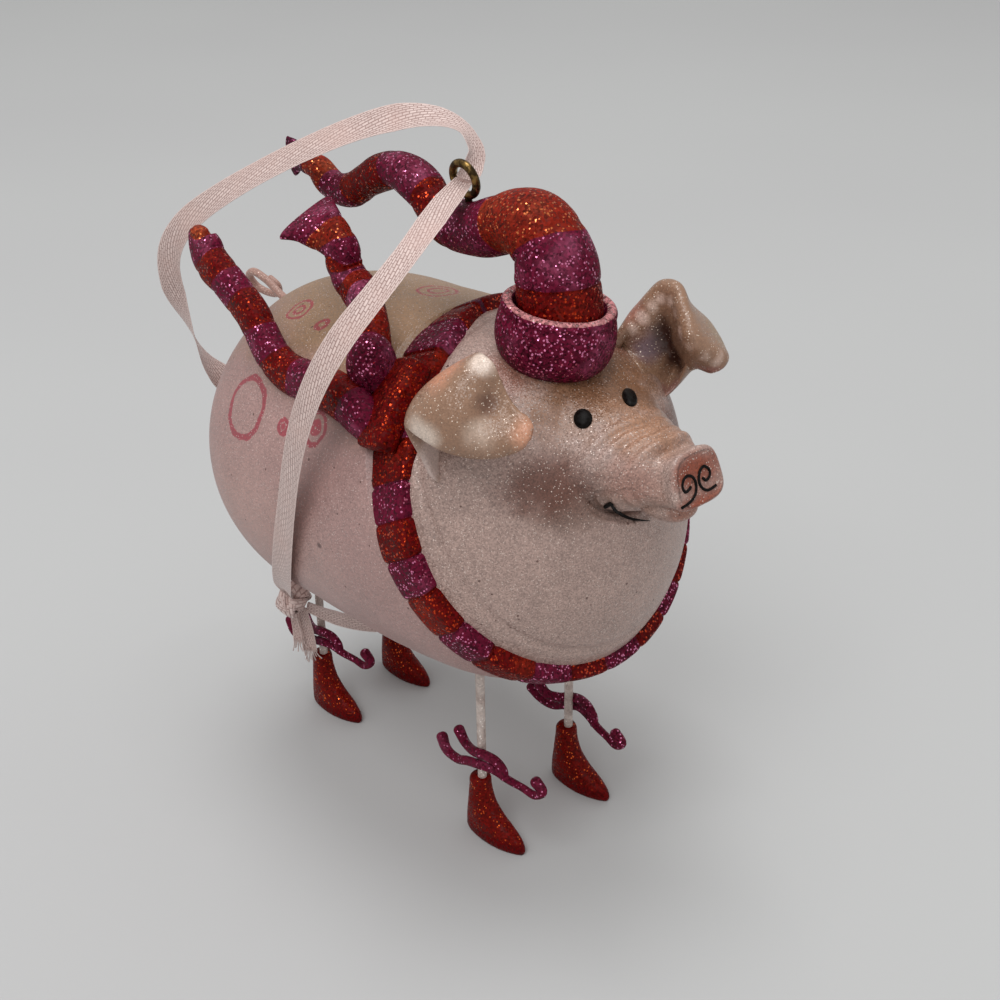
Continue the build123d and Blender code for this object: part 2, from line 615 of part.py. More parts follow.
with BuildPart() as scarf_knot:
    with Locations(knot_middle):
        Sphere(knot_radius)
    with Locations(knot_middle + Vector(wrap_ahead, -wrap_outward, -wrap_drop)):
        Sphere(wrap_radius)
    trim(torso, scarf_collar)
    with BuildSketch(knot_peg_plane):
        Circle(peg_radius + leg_wire_gap)
    extrude(amount=knot_peg_length, mode=Mode.SUBTRACT)
    with BuildSketch(*tail_peg_planes):
        Circle(peg_radius + leg_wire_gap)
    extrude(amount=tail_peg_length, mode=Mode.SUBTRACT)
finish(scarf_knot, "scarf_knot")

with BuildPart() as knot_peg:
    with BuildSketch(knot_peg_plane):
        Circle(peg_radius)
    extrude(amount=knot_peg_length)
finish(knot_peg, "knot_peg")

# Scarf tails
for tail_name, tail_shares, reach, swing, rise, width in tails:
    middles = tail_routes[tail_name]
    with BuildPart() as scarf_tail:
        for index, (back, inward, upward, wide, thick) in enumerate(tail_shares):
            way = along(middles, index)
            flat = way.cross(Vector(0, -1, 0).cross(way)).normalized()
            across = way.cross(flat).normalized()
            with BuildSketch(Plane(origin=middles[index], x_dir=across, z_dir=way)):
                Ellipse(wide * width / 2, thick * tail_thickness / 2)
        loft()
        trim(torso, scarf_collar, scarf_knot)
        with BuildSketch(*tail_peg_planes):
            Circle(peg_radius + leg_wire_gap)
        extrude(amount=tail_peg_length, mode=Mode.SUBTRACT)
    finish(scarf_tail, tail_name)

with BuildPart() as scarf_tail_pegs:
    with BuildSketch(*tail_peg_planes):
        Circle(peg_radius)
    extrude(amount=tail_peg_length)
finish(scarf_tail_pegs, "scarf_tail_pegs")

# Curled tail
curl_span = tail_x + curl_radius - rump_x
curl_points = [curl_root, Vector(rump_x, 0, curl_root.Z)]
for back, side, drop in curl_shares:
    curl_points.append(Vector(rump_x + back * curl_span, side * curl_side, curl_height - drop * curl_drop))
with BuildPart() as curly_tail:
    build_tube(curl_points, curl_radius)
finish(curly_tail, "curly_tail")

# Leg wires, boots and bows
boot_way = Vector(cos(radians(boot_turn)), sin(radians(boot_turn)), 0)
bow_offset = leg_wire_radius + strand_radius - bow_seat
for leg_name, (leg_x, leg_y, leg_top) in legs.items():
    foot = Vector(leg_x, leg_y, 0)
    outward = 1 if leg_y > 0 else -1
    wire_foot = boot_height - boot_hole_depth
    with BuildPart() as leg_wire:
        with BuildSketch(Plane(origin=foot + Vector(0, 0, wire_foot))):
            Circle(leg_wire_radius)
        extrude(amount=leg_top - wire_foot)
    finish(leg_wire, f"leg_wire_{leg_name}")

    with BuildPart() as boot:
        for level, back, front, wide in boot_shares:
            middle = foot + boot_way * ((back + front) / 2 * sole_length - boot_heel_setback)
            with BuildSketch(Plane(origin=middle + Vector(0, 0, level * boot_height), x_dir=boot_way)):
                Ellipse((front - back) / 2 * sole_length, wide * sole_half_width)
        loft()
        with BuildSketch(Plane(origin=foot + Vector(0, 0, wire_foot))):
            Circle(leg_wire_radius + leg_wire_gap)
        extrude(amount=boot_hole_depth + cutter_overrun, mode=Mode.SUBTRACT)
    finish(boot, f"boot_{leg_name}")

    with BuildPart() as bow:
        for strand_shares in (long_strand_shares, short_strand_shares):
            strand_points = []
            for ahead, upward, inward in strand_shares:
                side = outward * (bow_offset - inward * bow_flare)
                strand_points.append(foot + Vector(ahead * bow_length, side, bow_level + upward * bow_height))
            build_tube(strand_points, strand_radius)
        trim(leg_wire, boot)
    finish(bow, f"bow_{leg_name}")

# Ribbon: two free stretches from the eye to the knot, the knot and its two cut ends
first_near = Vector(*near_route[0])
far_exit = eye_middle - (first_near - eye_middle)
bead_middle = Vector(rear_leg_x - bead_behind_leg, -rear_track / 2 - bead_beside_leg, bead_height)
stretches = {
    "ribbon_near_run": [eye_middle] + near_route,
    "ribbon_far_run": far_route + [far_exit, eye_middle],
    "ribbon_end_long": long_end_route,
    "ribbon_end_short": short_end_route,
}
with BuildPart() as ribbon_knot:
    with Locations(Plane(origin=bead_middle, z_dir=bead_direction)):
        Cylinder(bead_radius, bead_length)
    for end in (-1, 1):
        with Locations(bead_middle + bead_direction.normalized() * (end * bead_length / 2)):
            Sphere(bead_radius)
finish(ribbon_knot, "ribbon_knot")

for stretch_name, route in stretches.items():
    with BuildPart() as stretch:
        stretch_length = build_tube(route, ribbon_radius)
        trim(ribbon_knot)
    finish(stretch, stretch_name)
    report_cord(stretch_name, stretch, route, stretch_length)
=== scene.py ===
import math

import bpy
import numpy as np
from mathutils import Matrix, Vector


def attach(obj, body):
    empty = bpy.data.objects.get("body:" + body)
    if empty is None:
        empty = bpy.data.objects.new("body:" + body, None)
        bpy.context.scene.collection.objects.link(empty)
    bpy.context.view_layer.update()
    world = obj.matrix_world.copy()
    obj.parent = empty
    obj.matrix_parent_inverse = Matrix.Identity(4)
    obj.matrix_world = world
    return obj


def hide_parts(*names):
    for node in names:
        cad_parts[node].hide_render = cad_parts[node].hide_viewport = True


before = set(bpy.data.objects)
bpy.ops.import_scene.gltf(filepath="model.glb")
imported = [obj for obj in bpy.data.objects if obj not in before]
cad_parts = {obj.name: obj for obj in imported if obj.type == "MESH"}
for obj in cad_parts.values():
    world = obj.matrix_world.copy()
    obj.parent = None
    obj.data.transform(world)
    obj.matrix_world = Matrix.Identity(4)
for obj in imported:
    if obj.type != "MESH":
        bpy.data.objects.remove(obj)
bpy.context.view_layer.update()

# Shapes are worked out in millimetres: X ahead of the pig, Y to its left, Z up, soles at height zero.
# makeMesh turns them into metres.
metre = 0.001
left = np.array([0.0, 1.0, 0.0])


def colour(red, green, blue):
    # screen colour from 0 to 255, as the linear colour that a shader takes
    share = np.array([red, green, blue]) / 255
    linear = np.where(share <= 0.04045, share / 12.92, ((share + 0.055) / 1.055) ** 2.4)
    return (*[float(part) for part in linear], 1.0)


def unit(vectors):
    # each vector over its own length
    return vectors / np.linalg.norm(vectors, axis=-1, keepdims=True)


def fullTurn(count):
    # even angles round a circle, without its last one
    return np.linspace(0, 2 * math.pi, count, endpoint=False)


def rounded(wave, power):
    # a wave raised to a power with its sign kept: under 1 it squares a circle's corners
    return np.sign(wave) * np.abs(wave) ** power


def pitched(degrees):
    # the directions ahead and up, tipped by an angle in the plane of X and Z
    turn = math.radians(degrees)
    return np.array([math.cos(turn), 0, math.sin(turn)]), np.array([-math.sin(turn), 0, math.cos(turn)])


def wayAlong(line):
    # length run at each point of a line
    return np.concatenate([[0], np.cumsum(np.linalg.norm(np.diff(line, axis=0), axis=1))])


def readColumns(places, way, table):
    # each column of a table read between its rows
    return np.stack([np.interp(places, way, column) for column in table.T], axis=1)


def surfaceMap(values, columns):
    # map of a grid: the values down its rows, then the share round its columns
    return np.stack(np.broadcast_arrays(values, np.arange(columns + 1) / columns), -1)


def cubicBetween(rows, slope, cell, part, run):
    # cubic from a row to the next one with the slopes at both, read at a share of the run between them
    return (
        rows[cell] * (2 * part ** 3 - 3 * part ** 2 + 1) + slope[cell] * run * (part ** 3 - 2 * part ** 2 + part)
        + rows[cell + 1] * (3 * part ** 2 - 2 * part ** 3) + slope[cell + 1] * run * (part ** 3 - part ** 2)
    )


def followTable(rows, count):
    # cubic through the table's rows with slopes from their neighbours, read at even steps along its line;
    # the first three columns are the place, the others are carried along
    rows = np.array(rows, float)
    at = wayAlong(rows[:, :3])
    fine = np.linspace(0, at[-1], 24 * len(rows))
    cell = np.clip(np.searchsorted(at, fine, side="right") - 1, 0, len(at) - 2)
    run = (at[cell + 1] - at[cell])[:, None]
    line = cubicBetween(rows, np.gradient(rows, at, axis=0), cell, (fine - at[cell])[:, None] / run, run)
    way = wayAlong(line[:, :3])
    even = np.linspace(0, way[-1], count)
    return readColumns(even, way, line), even


def throughRings(rings, counts):
    # cubic across whole rings, column by column; counts gives the steps between each pair of rings
    rings = np.array(rings, float)
    chords = np.linalg.norm(np.diff(rings, axis=0), axis=2).mean(axis=1)
    slope = np.gradient(rings, np.concatenate([[0], np.cumsum(chords)]), axis=0)
    cell = np.repeat(np.arange(len(counts)), counts)
    part = np.concatenate([np.arange(count) / count for count in counts])[:, None, None]
    return np.concatenate([cubicBetween(rings, slope, cell, part, chords[cell][:, None, None]), rings[-1:]])


def sweepBand(line, across, halfWidth, halfThick, columns=48, power=2.0, domes=(0.6, 0.6), skew=(0.0, 0.0), cup=0.0):
    # profile carried along a line: across times the width's cosine plus over times the thickness's sine,
    # both raised to 2 / power, and each end closed by a quarter round as long as a share of the thickness
    steps, count = 6, len(line)
    ahead = unit(np.gradient(line, axis=0))
    across = unit(across - ahead * (across * ahead).sum(axis=1, keepdims=True))
    over = np.cross(ahead, across)
    turn = np.linspace(0, math.pi / 2, steps, endpoint=False)
    away = np.concatenate([domes[0] * -np.cos(turn), np.zeros(count), domes[1] * np.sin(turn + turn[1])])
    shrink = np.concatenate([np.sin(turn + turn[1] / 3), np.ones(count), np.cos(turn + turn[1] * 0.98)])
    pick = np.concatenate([np.zeros(steps, int), np.arange(count), np.full(steps, count - 1)])
    wide, thick, bend, tilt = [np.broadcast_to(part, count)[pick] for part in (halfWidth, halfThick, cup, skew[1])]
    angle = fullTurn(columns)
    side, rise = rounded(np.cos(angle), 2 / power), rounded(np.sin(angle), 2 / power)
    lift = (thick * shrink)[:, None] * rise + (bend * shrink)[:, None] * (1 - side ** 2)
    middle = line[pick] + ahead[pick] * (away * thick)[:, None]
    grid = (
        middle[:, None] + across[pick][:, None] * ((wide * shrink)[:, None] * side)[..., None]
        + over[pick][:, None] * lift[..., None]
    )
    length = wayAlong(line)[pick] + away * thick
    around = np.append(side, side[0]) * skew[0] + np.append(rise, rise[0]) * tilt[:, None]
    return {"grid": grid, "map": surfaceMap((length[:, None] + around) / 100, columns)}


def sheetShell(ribs, halfThick, rows=110, columns=96):
    # sheet through ribs of four points: cubic along each rib, cubic from rib to rib, then thickened along
    # its normal with a rounded edge; both end rows thin out over one thickness
    middles = (ribs[:, 0:3] + ribs[:, 3:6] + ribs[:, 6:9] + ribs[:, 9:12]) / 4
    table, _ = followTable(np.concatenate([middles, ribs], axis=1), rows)
    first, second, third, fourth = [table[:, start:start + 3][:, None] for start in (3, 6, 9, 12)]

    def along(v):
        # cubic through a rib's four points, spread evenly from -1 to 1
        return (
            first * (-9 / 16 * (v + 1 / 3) * (v - 1 / 3) * (v - 1))
            + second * (27 / 16 * (v + 1) * (v - 1 / 3) * (v - 1))
            + third * (-27 / 16 * (v + 1) * (v + 1 / 3) * (v - 1))
            + fourth * (9 / 16 * (v + 1) * (v + 1 / 3) * (v - 1 / 3))
        )

    angle = fullTurn(columns)[None, :, None]
    across = np.cos(angle) * np.ones((rows, 1, 1))
    sheet = along(across)
    normal = unit(np.cross(np.gradient(sheet, axis=0), along(across + 0.01) - along(across - 0.01)))
    way = wayAlong(table[:, :3])
    near = np.minimum(np.minimum(way, way[-1] - way) / halfThick, 1)
    taper = (np.sqrt(1 - (1 - near) ** 2) * 0.94 + 0.06)[:, None, None]
    grid = sheet + normal * halfThick * taper * rounded(np.sin(angle), 0.75)
    return {"grid": grid, "map": surfaceMap(way[:, None] / 100, columns)}


def roundForm(middle, reach, axes=np.eye(3), power=2.0):
    # ellipsoid or rounded box: polar angle down the rows, turn along the columns, powers of 2 / power
    rows, columns, soft = 40, 56, 2 / power
    polar = np.linspace(0.02, math.pi - 0.02, rows)[:, None]
    turn = fullTurn(columns)[None, :]
    flat = np.sin(polar) ** soft
    parts = (
        flat * rounded(np.cos(turn), soft), flat * rounded(np.sin(turn), soft),
        rounded(np.cos(polar), soft) * np.ones_like(turn),
    )
    grid = sum((part * size)[..., None] * axis for part, size, axis in zip(parts, reach, axes))
    grid = np.array(middle, float) + grid
    return {"grid": grid, "map": surfaceMap(polar / 10, columns)}


def makeMesh(name, shells):
    # each shell is a grid of rows and columns that closes round its columns; its end rows close to their
    # middles, or a loop closes on its first row; a shell that comes out inside out is turned
    allPoints, allCorners, allTotals, allMaps = [], [], [], []
    start = 0
    for shell in shells:
        grid, map2 = shell["grid"], shell["map"]
        rows, columns = grid.shape[:2]
        ring = np.arange(columns)
        after = (ring + 1) % columns
        low = np.arange(rows if shell.get("loop") else rows - 1)[:, None]
        high = (low + 1) % rows
        mapHigh = low + 1 if map2.shape[0] > rows else high
        here, above = low * columns, high * columns
        quads = np.stack([here + ring, here + after, above + after, above + ring], -1)
        quadMaps = np.stack([map2[low, ring], map2[low, ring + 1], map2[mapHigh, ring + 1], map2[mapHigh, ring]], 2)
        points, corners, maps = grid.reshape(-1, 3), [quads.reshape(-1, 4)], [quadMaps.reshape(-1, 4, 2)]
        if not shell.get("loop"):
            points = np.concatenate([points, grid[0].mean(axis=0)[None], grid[-1].mean(axis=0)[None]])
            last = (rows - 1) * columns
            corners.append(np.stack([after, ring, np.full(columns, rows * columns)], 1))
            corners.append(np.stack([last + ring, last + after, np.full(columns, rows * columns + 1)], 1))
            maps.append(np.stack([map2[0, 1:], map2[0, :-1], (map2[0, 1:] + map2[0, :-1]) / 2], 1))
            maps.append(np.stack([map2[-1, :-1], map2[-1, 1:], (map2[-1, 1:] + map2[-1, :-1]) / 2], 1))
        volume = sum(
            (points[faces[:, 0]] * np.cross(points[faces[:, k]], points[faces[:, k + 1]])).sum()
            for faces in corners for k in range(1, faces.shape[1] - 1)
        )
        for faces, part in zip(corners, maps):
            if volume < 0:
                faces, part = faces[:, ::-1], part[:, ::-1]
            allCorners.append((faces + start).ravel())
            allTotals.append(np.full(len(faces), faces.shape[1]))
            allMaps.append(part.reshape(-1, 2))
        allPoints.append(points)
        start += len(points)
    points, corners, totals, maps = [np.concatenate(part) for part in (allPoints, allCorners, allTotals, allMaps)]
    mesh = bpy.data.meshes.new(name)
    mesh.vertices.add(len(points))
    mesh.vertices.foreach_set("co", (points * metre).astype(np.float32).ravel())
    mesh.loops.add(len(corners))
    mesh.loops.foreach_set("vertex_index", corners.astype(np.int32))
    mesh.polygons.add(len(totals))
    mesh.polygons.foreach_set("loop_start", np.concatenate([[0], np.cumsum(totals)[:-1]]).astype(np.int32))
    mesh.polygons.foreach_set("loop_total", totals.astype(np.int32))
    mesh.polygons.foreach_set("use_smooth", np.ones(len(totals), bool))
    mesh.update(calc_edges=True)
    mesh.uv_layers.new(name="surface").data.foreach_set("uv", maps.astype(np.float32).ravel())
    mesh.validate()
    return mesh


def makePiece(name, shells, material, nodes=(), body="root"):
    # one mesh with its material, on its body, hiding the CAD nodes that it stands for
    piece = bpy.data.objects.new(name, makeMesh(name, shells))
    bpy.context.scene.collection.objects.link(piece)
    piece.data.materials.append(material)
    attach(piece, body)
    if nodes:
        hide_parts(*nodes)
    return piece


# Small helpers for the shader trees
def feed(tree, node, inputs):
    # links each input that is given a socket, and sets the others as constants
    for key, value in inputs.items():
        if isinstance(value, bpy.types.NodeSocket):
            tree.links.new(value, node.inputs[key])
        else:
            node.inputs[key].default_value = value


def addNode(tree, kind, inputs=None, **settings):
    # a shader node with its own settings first, then its inputs
    made = tree.nodes.new("ShaderNode" + kind)
    for key, value in settings.items():
        setattr(made, key, value)
    feed(tree, made, inputs or {})
    return made


def maths(tree, operation, first, second=0.0):
    return addNode(tree, "Math", {0: first, 1: second}, operation=operation).outputs[0]


def vectorMaths(tree, operation, inputs, output=0):
    return addNode(tree, "VectorMath", inputs, operation=operation).outputs[output]


def drift(tree, cloud, amount):
    # noise moved to lie about zero, times an amount
    return maths(tree, "MULTIPLY", maths(tree, "SUBTRACT", cloud, 0.5), amount)


def mixColour(tree, share, first, second):
    return addNode(tree, "Mix", {0: share, 6: first, 7: second}, data_type="RGBA").outputs[2]


def fade(tree, value, low, high, fromLow=0.0, toHigh=1.0):
    # smooth step from low to high
    ends = {"Value": value, "From Min": low, "From Max": high, "To Min": fromLow, "To Max": toHigh}
    return addNode(tree, "MapRange", ends, interpolation_type="SMOOTHSTEP").outputs["Result"]


def objectPlace(tree):
    return addNode(tree, "TexCoord").outputs["Object"]


def surfacePlace(tree):
    return addNode(tree, "UVMap", uv_map="surface").outputs[0]


def scaled(tree, vector, scale, turn=(0, 0, 0)):
    return addNode(tree, "Mapping", {"Vector": vector, "Rotation": turn, "Scale": scale}).outputs[0]


def splitAxes(tree, vector):
    return addNode(tree, "SeparateXYZ", {0: vector}).outputs


def noise(tree, place, scale, detail):
    return addNode(tree, "TexNoise", {"Vector": place, "Scale": scale, "Detail": detail}).outputs["Fac"]


def bumps(tree, height, strength, distance):
    return addNode(tree, "Bump", {"Height": height, "Strength": strength, "Distance": distance}).outputs[0]


def stripes(tree, place, bands):
    # bands is a list of (start in millimetres along the piece, colour)
    ramp = addNode(tree, "ValToRGB", {"Fac": place})
    ramp.color_ramp.interpolation = "CONSTANT"
    stops = ramp.color_ramp.elements
    for index, (start, tone) in enumerate(bands):
        stop = stops[index] if index < 2 else stops.new(1.0)
        stop.position = max(start / 100, 0.0)
        stop.color = tone
    return ramp.outputs["Color"]


def startGroup(name, inputs, outputs):
    # inputs are labels with their first values, whose form gives the socket's kind
    group = bpy.data.node_groups.new(name, "ShaderNodeTree")
    for label, value in inputs.items():
        kind = "Float" if isinstance(value, float) else {3: "Vector", 4: "Color"}[len(value)]
        group.interface.new_socket(label, in_out="INPUT", socket_type="NodeSocket" + kind).default_value = value
    for label, kind in outputs.items():
        group.interface.new_socket(label, in_out="OUTPUT", socket_type="NodeSocket" + kind)
    return group, group.nodes.new("NodeGroupInput").outputs, group.nodes.new("NodeGroupOutput")


def useGroup(tree, group, inputs):
    return addNode(tree, "Group", inputs, node_tree=group).outputs


def makeGlitterCoat():
    # every cell of a fine Voronoi is one flake: it has its own shade, its own tilt, and a few are bright; the bright
    # ones' lighter colour is partly the flakes' own and partly a painted glint
    white = (1, 1, 1, 1)
    group, given, result = startGroup(
        "glitterCoat",
        {"Paint": white, "Flake": white, "Grain": 2400.0, "Bright Share": 0.1, "Depth": 0.4, "Tilt": 0.5},
        {"Colour": "Color", "Flakes": "Float", "Normal": "Vector"},
    )
    place = objectPlace(group)
    cells = addNode(group, "TexVoronoi", {"Vector": place, "Scale": given["Grain"]}).outputs
    chance = addNode(group, "SeparateColor", {0: cells["Color"]}).outputs
    swing = drift(group, chance[0], maths(group, "MULTIPLY", given["Depth"], 2.0))
    cloud = drift(group, noise(group, place, 160.0, 3.0), given["Depth"])
    shade = maths(group, "MAXIMUM", maths(group, "ADD", maths(group, "ADD", swing, cloud), 1.0), 0.12)
    painted = vectorMaths(group, "SCALE", {0: given["Paint"], "Scale": shade})
    rare = maths(group, "GREATER_THAN", chance[1], maths(group, "SUBTRACT", 1.0, given["Bright Share"]))
    flakes = maths(group, "MULTIPLY", rare, maths(group, "LESS_THAN", cells["Distance"], 0.46))
    lean = vectorMaths(group, "SUBTRACT", {0: cells["Color"], 1: (0.5, 0.5, 0.5)})
    tilted = vectorMaths(group, "SCALE", {0: lean, "Scale": given["Tilt"]})
    surface = addNode(group, "NewGeometry").outputs["Normal"]
    summed = vectorMaths(group, "ADD", {0: tilted, 1: surface})
    feed(group, result, {
        "Colour": mixColour(group, flakes, painted, given["Flake"]), "Flakes": flakes,
        "Normal": vectorMaths(group, "NORMALIZE", {0: summed}),
    })
    return group


def makeBlushAndLight():
    # soft patch, used for airbrushed paint and also for painted highlights and painted shade: full inside an
    # ellipsoid about its centre, fading to nothing at its edge, broken by noise
    group, given, result = startGroup(
        "blushAndLight",
        {
            "Paint": (1, 1, 1, 1), "Patch": (1, 0, 0, 1), "Centre": (0, 0, 0), "Reach": (0.01, 0.01, 0.01),
            "Strength": 0.5,
        },
        {"Colour": "Color"},
    )
    place = objectPlace(group)
    away = vectorMaths(group, "SUBTRACT", {0: place, 1: given["Centre"]})
    distance = vectorMaths(group, "LENGTH", {0: vectorMaths(group, "DIVIDE", {0: away, 1: given["Reach"]})}, "Value")
    ragged = maths(group, "ADD", distance, drift(group, noise(group, place, 260.0, 4.0), 0.7))
    mask = maths(group, "MULTIPLY", fade(group, ragged, 1.0, 0.25), given["Strength"])
    feed(group, result, {"Colour": mixColour(group, mask, given["Paint"], given["Patch"])})
    return group


def makeSpeckle():
    # sparse specks: the middles of a few cells of a Voronoi
    group, given, result = startGroup("speckle", {"Grain": 500.0, "Share": 0.2, "Size": 0.25}, {"Mask": "Float"})
    cells = addNode(group, "TexVoronoi", {"Vector": objectPlace(group), "Scale": given["Grain"]}).outputs
    chance = addNode(group, "SeparateColor", {0: cells["Color"]}).outputs
    rare = maths(group, "GREATER_THAN", chance[0], maths(group, "SUBTRACT", 1.0, given["Share"]))
    size = maths(group, "MULTIPLY", given["Size"], maths(group, "ADD", chance[1], 0.4))
    feed(group, result, {"Mask": maths(group, "MULTIPLY", rare, maths(group, "LESS_THAN", cells["Distance"], size))})
    return group


def makeRing():
    # hand-painted ring: the distance from its centre lies within half a line of its radius
    group, given, result = startGroup(
        "paintedRing", {"Centre": (0, 0, 0), "Radius": 0.004, "Line": 0.0004}, {"Mask": "Float"}
    )
    place = objectPlace(group)
    wobble = noise(group, place, 300.0, 2.0)
    distance = vectorMaths(group, "DISTANCE", {0: place, 1: given["Centre"]}, "Value")
    bent = maths(group, "ADD", distance, drift(group, wobble, 0.0016))
    off = maths(group, "ABSOLUTE", maths(group, "SUBTRACT", bent, given["Radius"]))
    feed(group, result, {"Mask": fade(group, maths(group, "DIVIDE", off, given["Line"]), 1.25, 0.75)})
    return group


glitterCoat, blushAndLight, speckle, paintedRing = makeGlitterCoat(), makeBlushAndLight(), makeSpeckle(), makeRing()


def startMaterial(name):
    # a material with its tree and its Principled shader
    material = bpy.data.materials.new(name)
    material.use_nodes = True
    return material, material.node_tree, material.node_tree.nodes["Principled BSDF"]


def coatOf(tree, paint, flake, grain, share, depth, tilt):
    # the glitter group's outputs for a paint and its flakes
    return useGroup(tree, glitterCoat, {
        "Paint": paint, "Flake": flake, "Grain": grain, "Bright Share": share, "Depth": depth, "Tilt": tilt,
    })


def flakeShine(tree, coat, dull, bright):
    # a value between the flakes, and another on them
    return fade(tree, coat["Flakes"], 0.0, 1.0, dull, bright)


def finishGlitter(tree, shader, coat, dull, bright, metal):
    # a coat of coarse glitter on the material's own shader
    feed(tree, shader, {
        "Base Color": coat["Colour"], "Roughness": flakeShine(tree, coat, dull, bright), "Normal": coat["Normal"],
        "Metallic": maths(tree, "MULTIPLY", coat["Flakes"], metal), "Specular IOR Level": 0.08,
    })


# Stage: camera, floor and light
stage = {
    "camera": (0.21427, -0.17455, 0.22280), "azimuth": 48.49, "elevation": 29.361, "roll": -0.877,
    "lens": 54.0, "sensor": 36.0, "shift": (-0.00228, 0.00091),
    "floor": (colour(186, 187, 187), colour(181, 181, 182)), "floorReach": 4.0, "lookAt": (0, 0, 0.07),
    # each lamp: power, place and size
    "lamps": {"keyLamp": (7.0, (0.35, -0.75, 1.25), 0.75), "topLamp": (5.9, (-0.1, 0.05, 1.35), 0.6)},
    "worldLight": 0.64, "worldSeen": 0.55, "worldTone": (1, 0.995, 0.985, 1),
}


def placeCamera():
    # the camera's axes from its azimuth, elevation and roll
    turn, lift, roll = [math.radians(stage[key]) for key in ("azimuth", "elevation", "roll")]
    back = Vector((math.sin(turn) * math.cos(lift), -math.cos(turn) * math.cos(lift), math.sin(lift)))
    level = Vector((math.cos(turn), math.sin(turn), 0))
    upright = back.cross(level)
    right = level * math.cos(roll) + upright * math.sin(roll)
    up = upright * math.cos(roll) - level * math.sin(roll)
    camera = bpy.data.objects.new("camera", bpy.data.cameras.new("camera"))
    camera.data.lens, camera.data.sensor_width = stage["lens"], stage["sensor"]
    camera.data.shift_x, camera.data.shift_y = stage["shift"]
    camera.data.clip_start = 0.01
    camera.matrix_world = Matrix.Translation(stage["camera"]) @ Matrix((right, up, back)).transposed().to_4x4()
    bpy.context.scene.collection.objects.link(camera)
    bpy.context.scene.camera = camera


def addLamp(name, power, place, size):
    # round area lamp that faces the object's middle
    lamp = bpy.data.objects.new(name, bpy.data.lights.new(name, "AREA"))
    lamp.data.energy, lamp.data.shape, lamp.data.size = power, "DISK", size
    lamp.location = place
    lamp.rotation_euler = (Vector(place) - Vector(stage["lookAt"])).to_track_quat("Z", "Y").to_euler()
    bpy.context.scene.collection.objects.link(lamp)


def setStage():
    # camera, lamps, a level floor and a world that is dimmer where it is seen
    placeCamera()
    for name, values in stage["lamps"].items():
        addLamp(name, *values)
    reach = stage["floorReach"]
    mesh = bpy.data.meshes.new("floor")
    corners = [(-reach, -reach, 0), (reach, -reach, 0), (reach, reach, 0), (-reach, reach, 0)]
    mesh.from_pydata(corners, [], [(0, 1, 2, 3)])
    floor = bpy.data.objects.new("floor", mesh)
    bpy.context.scene.collection.objects.link(floor)
    material, tree, shader = startMaterial("palePaper")
    cloud = noise(tree, objectPlace(tree), 3.0, 2.0)
    feed(tree, shader, {
        "Base Color": mixColour(tree, fade(tree, cloud, 0.3, 0.7, 0.0, 0.5), *stage["floor"]), "Roughness": 0.75,
    })
    floor.data.materials.append(material)
    world = bpy.data.worlds.new("studio")
    world.use_nodes = True
    tree = world.node_tree
    seen = addNode(tree, "LightPath").outputs
    mirrored = maths(tree, "MAXIMUM", seen["Is Glossy Ray"], seen["Is Transmission Ray"])
    anySeen = maths(tree, "MAXIMUM", seen["Is Camera Ray"], mirrored)
    strength = fade(tree, anySeen, 0.0, 1.0, stage["worldLight"], stage["worldSeen"])
    feed(tree, tree.nodes["Background"], {"Color": stage["worldTone"], "Strength": strength})
    bpy.context.scene.world = world
    bpy.context.scene.view_settings.view_transform = "Standard"


setStage()
print("stage is set")

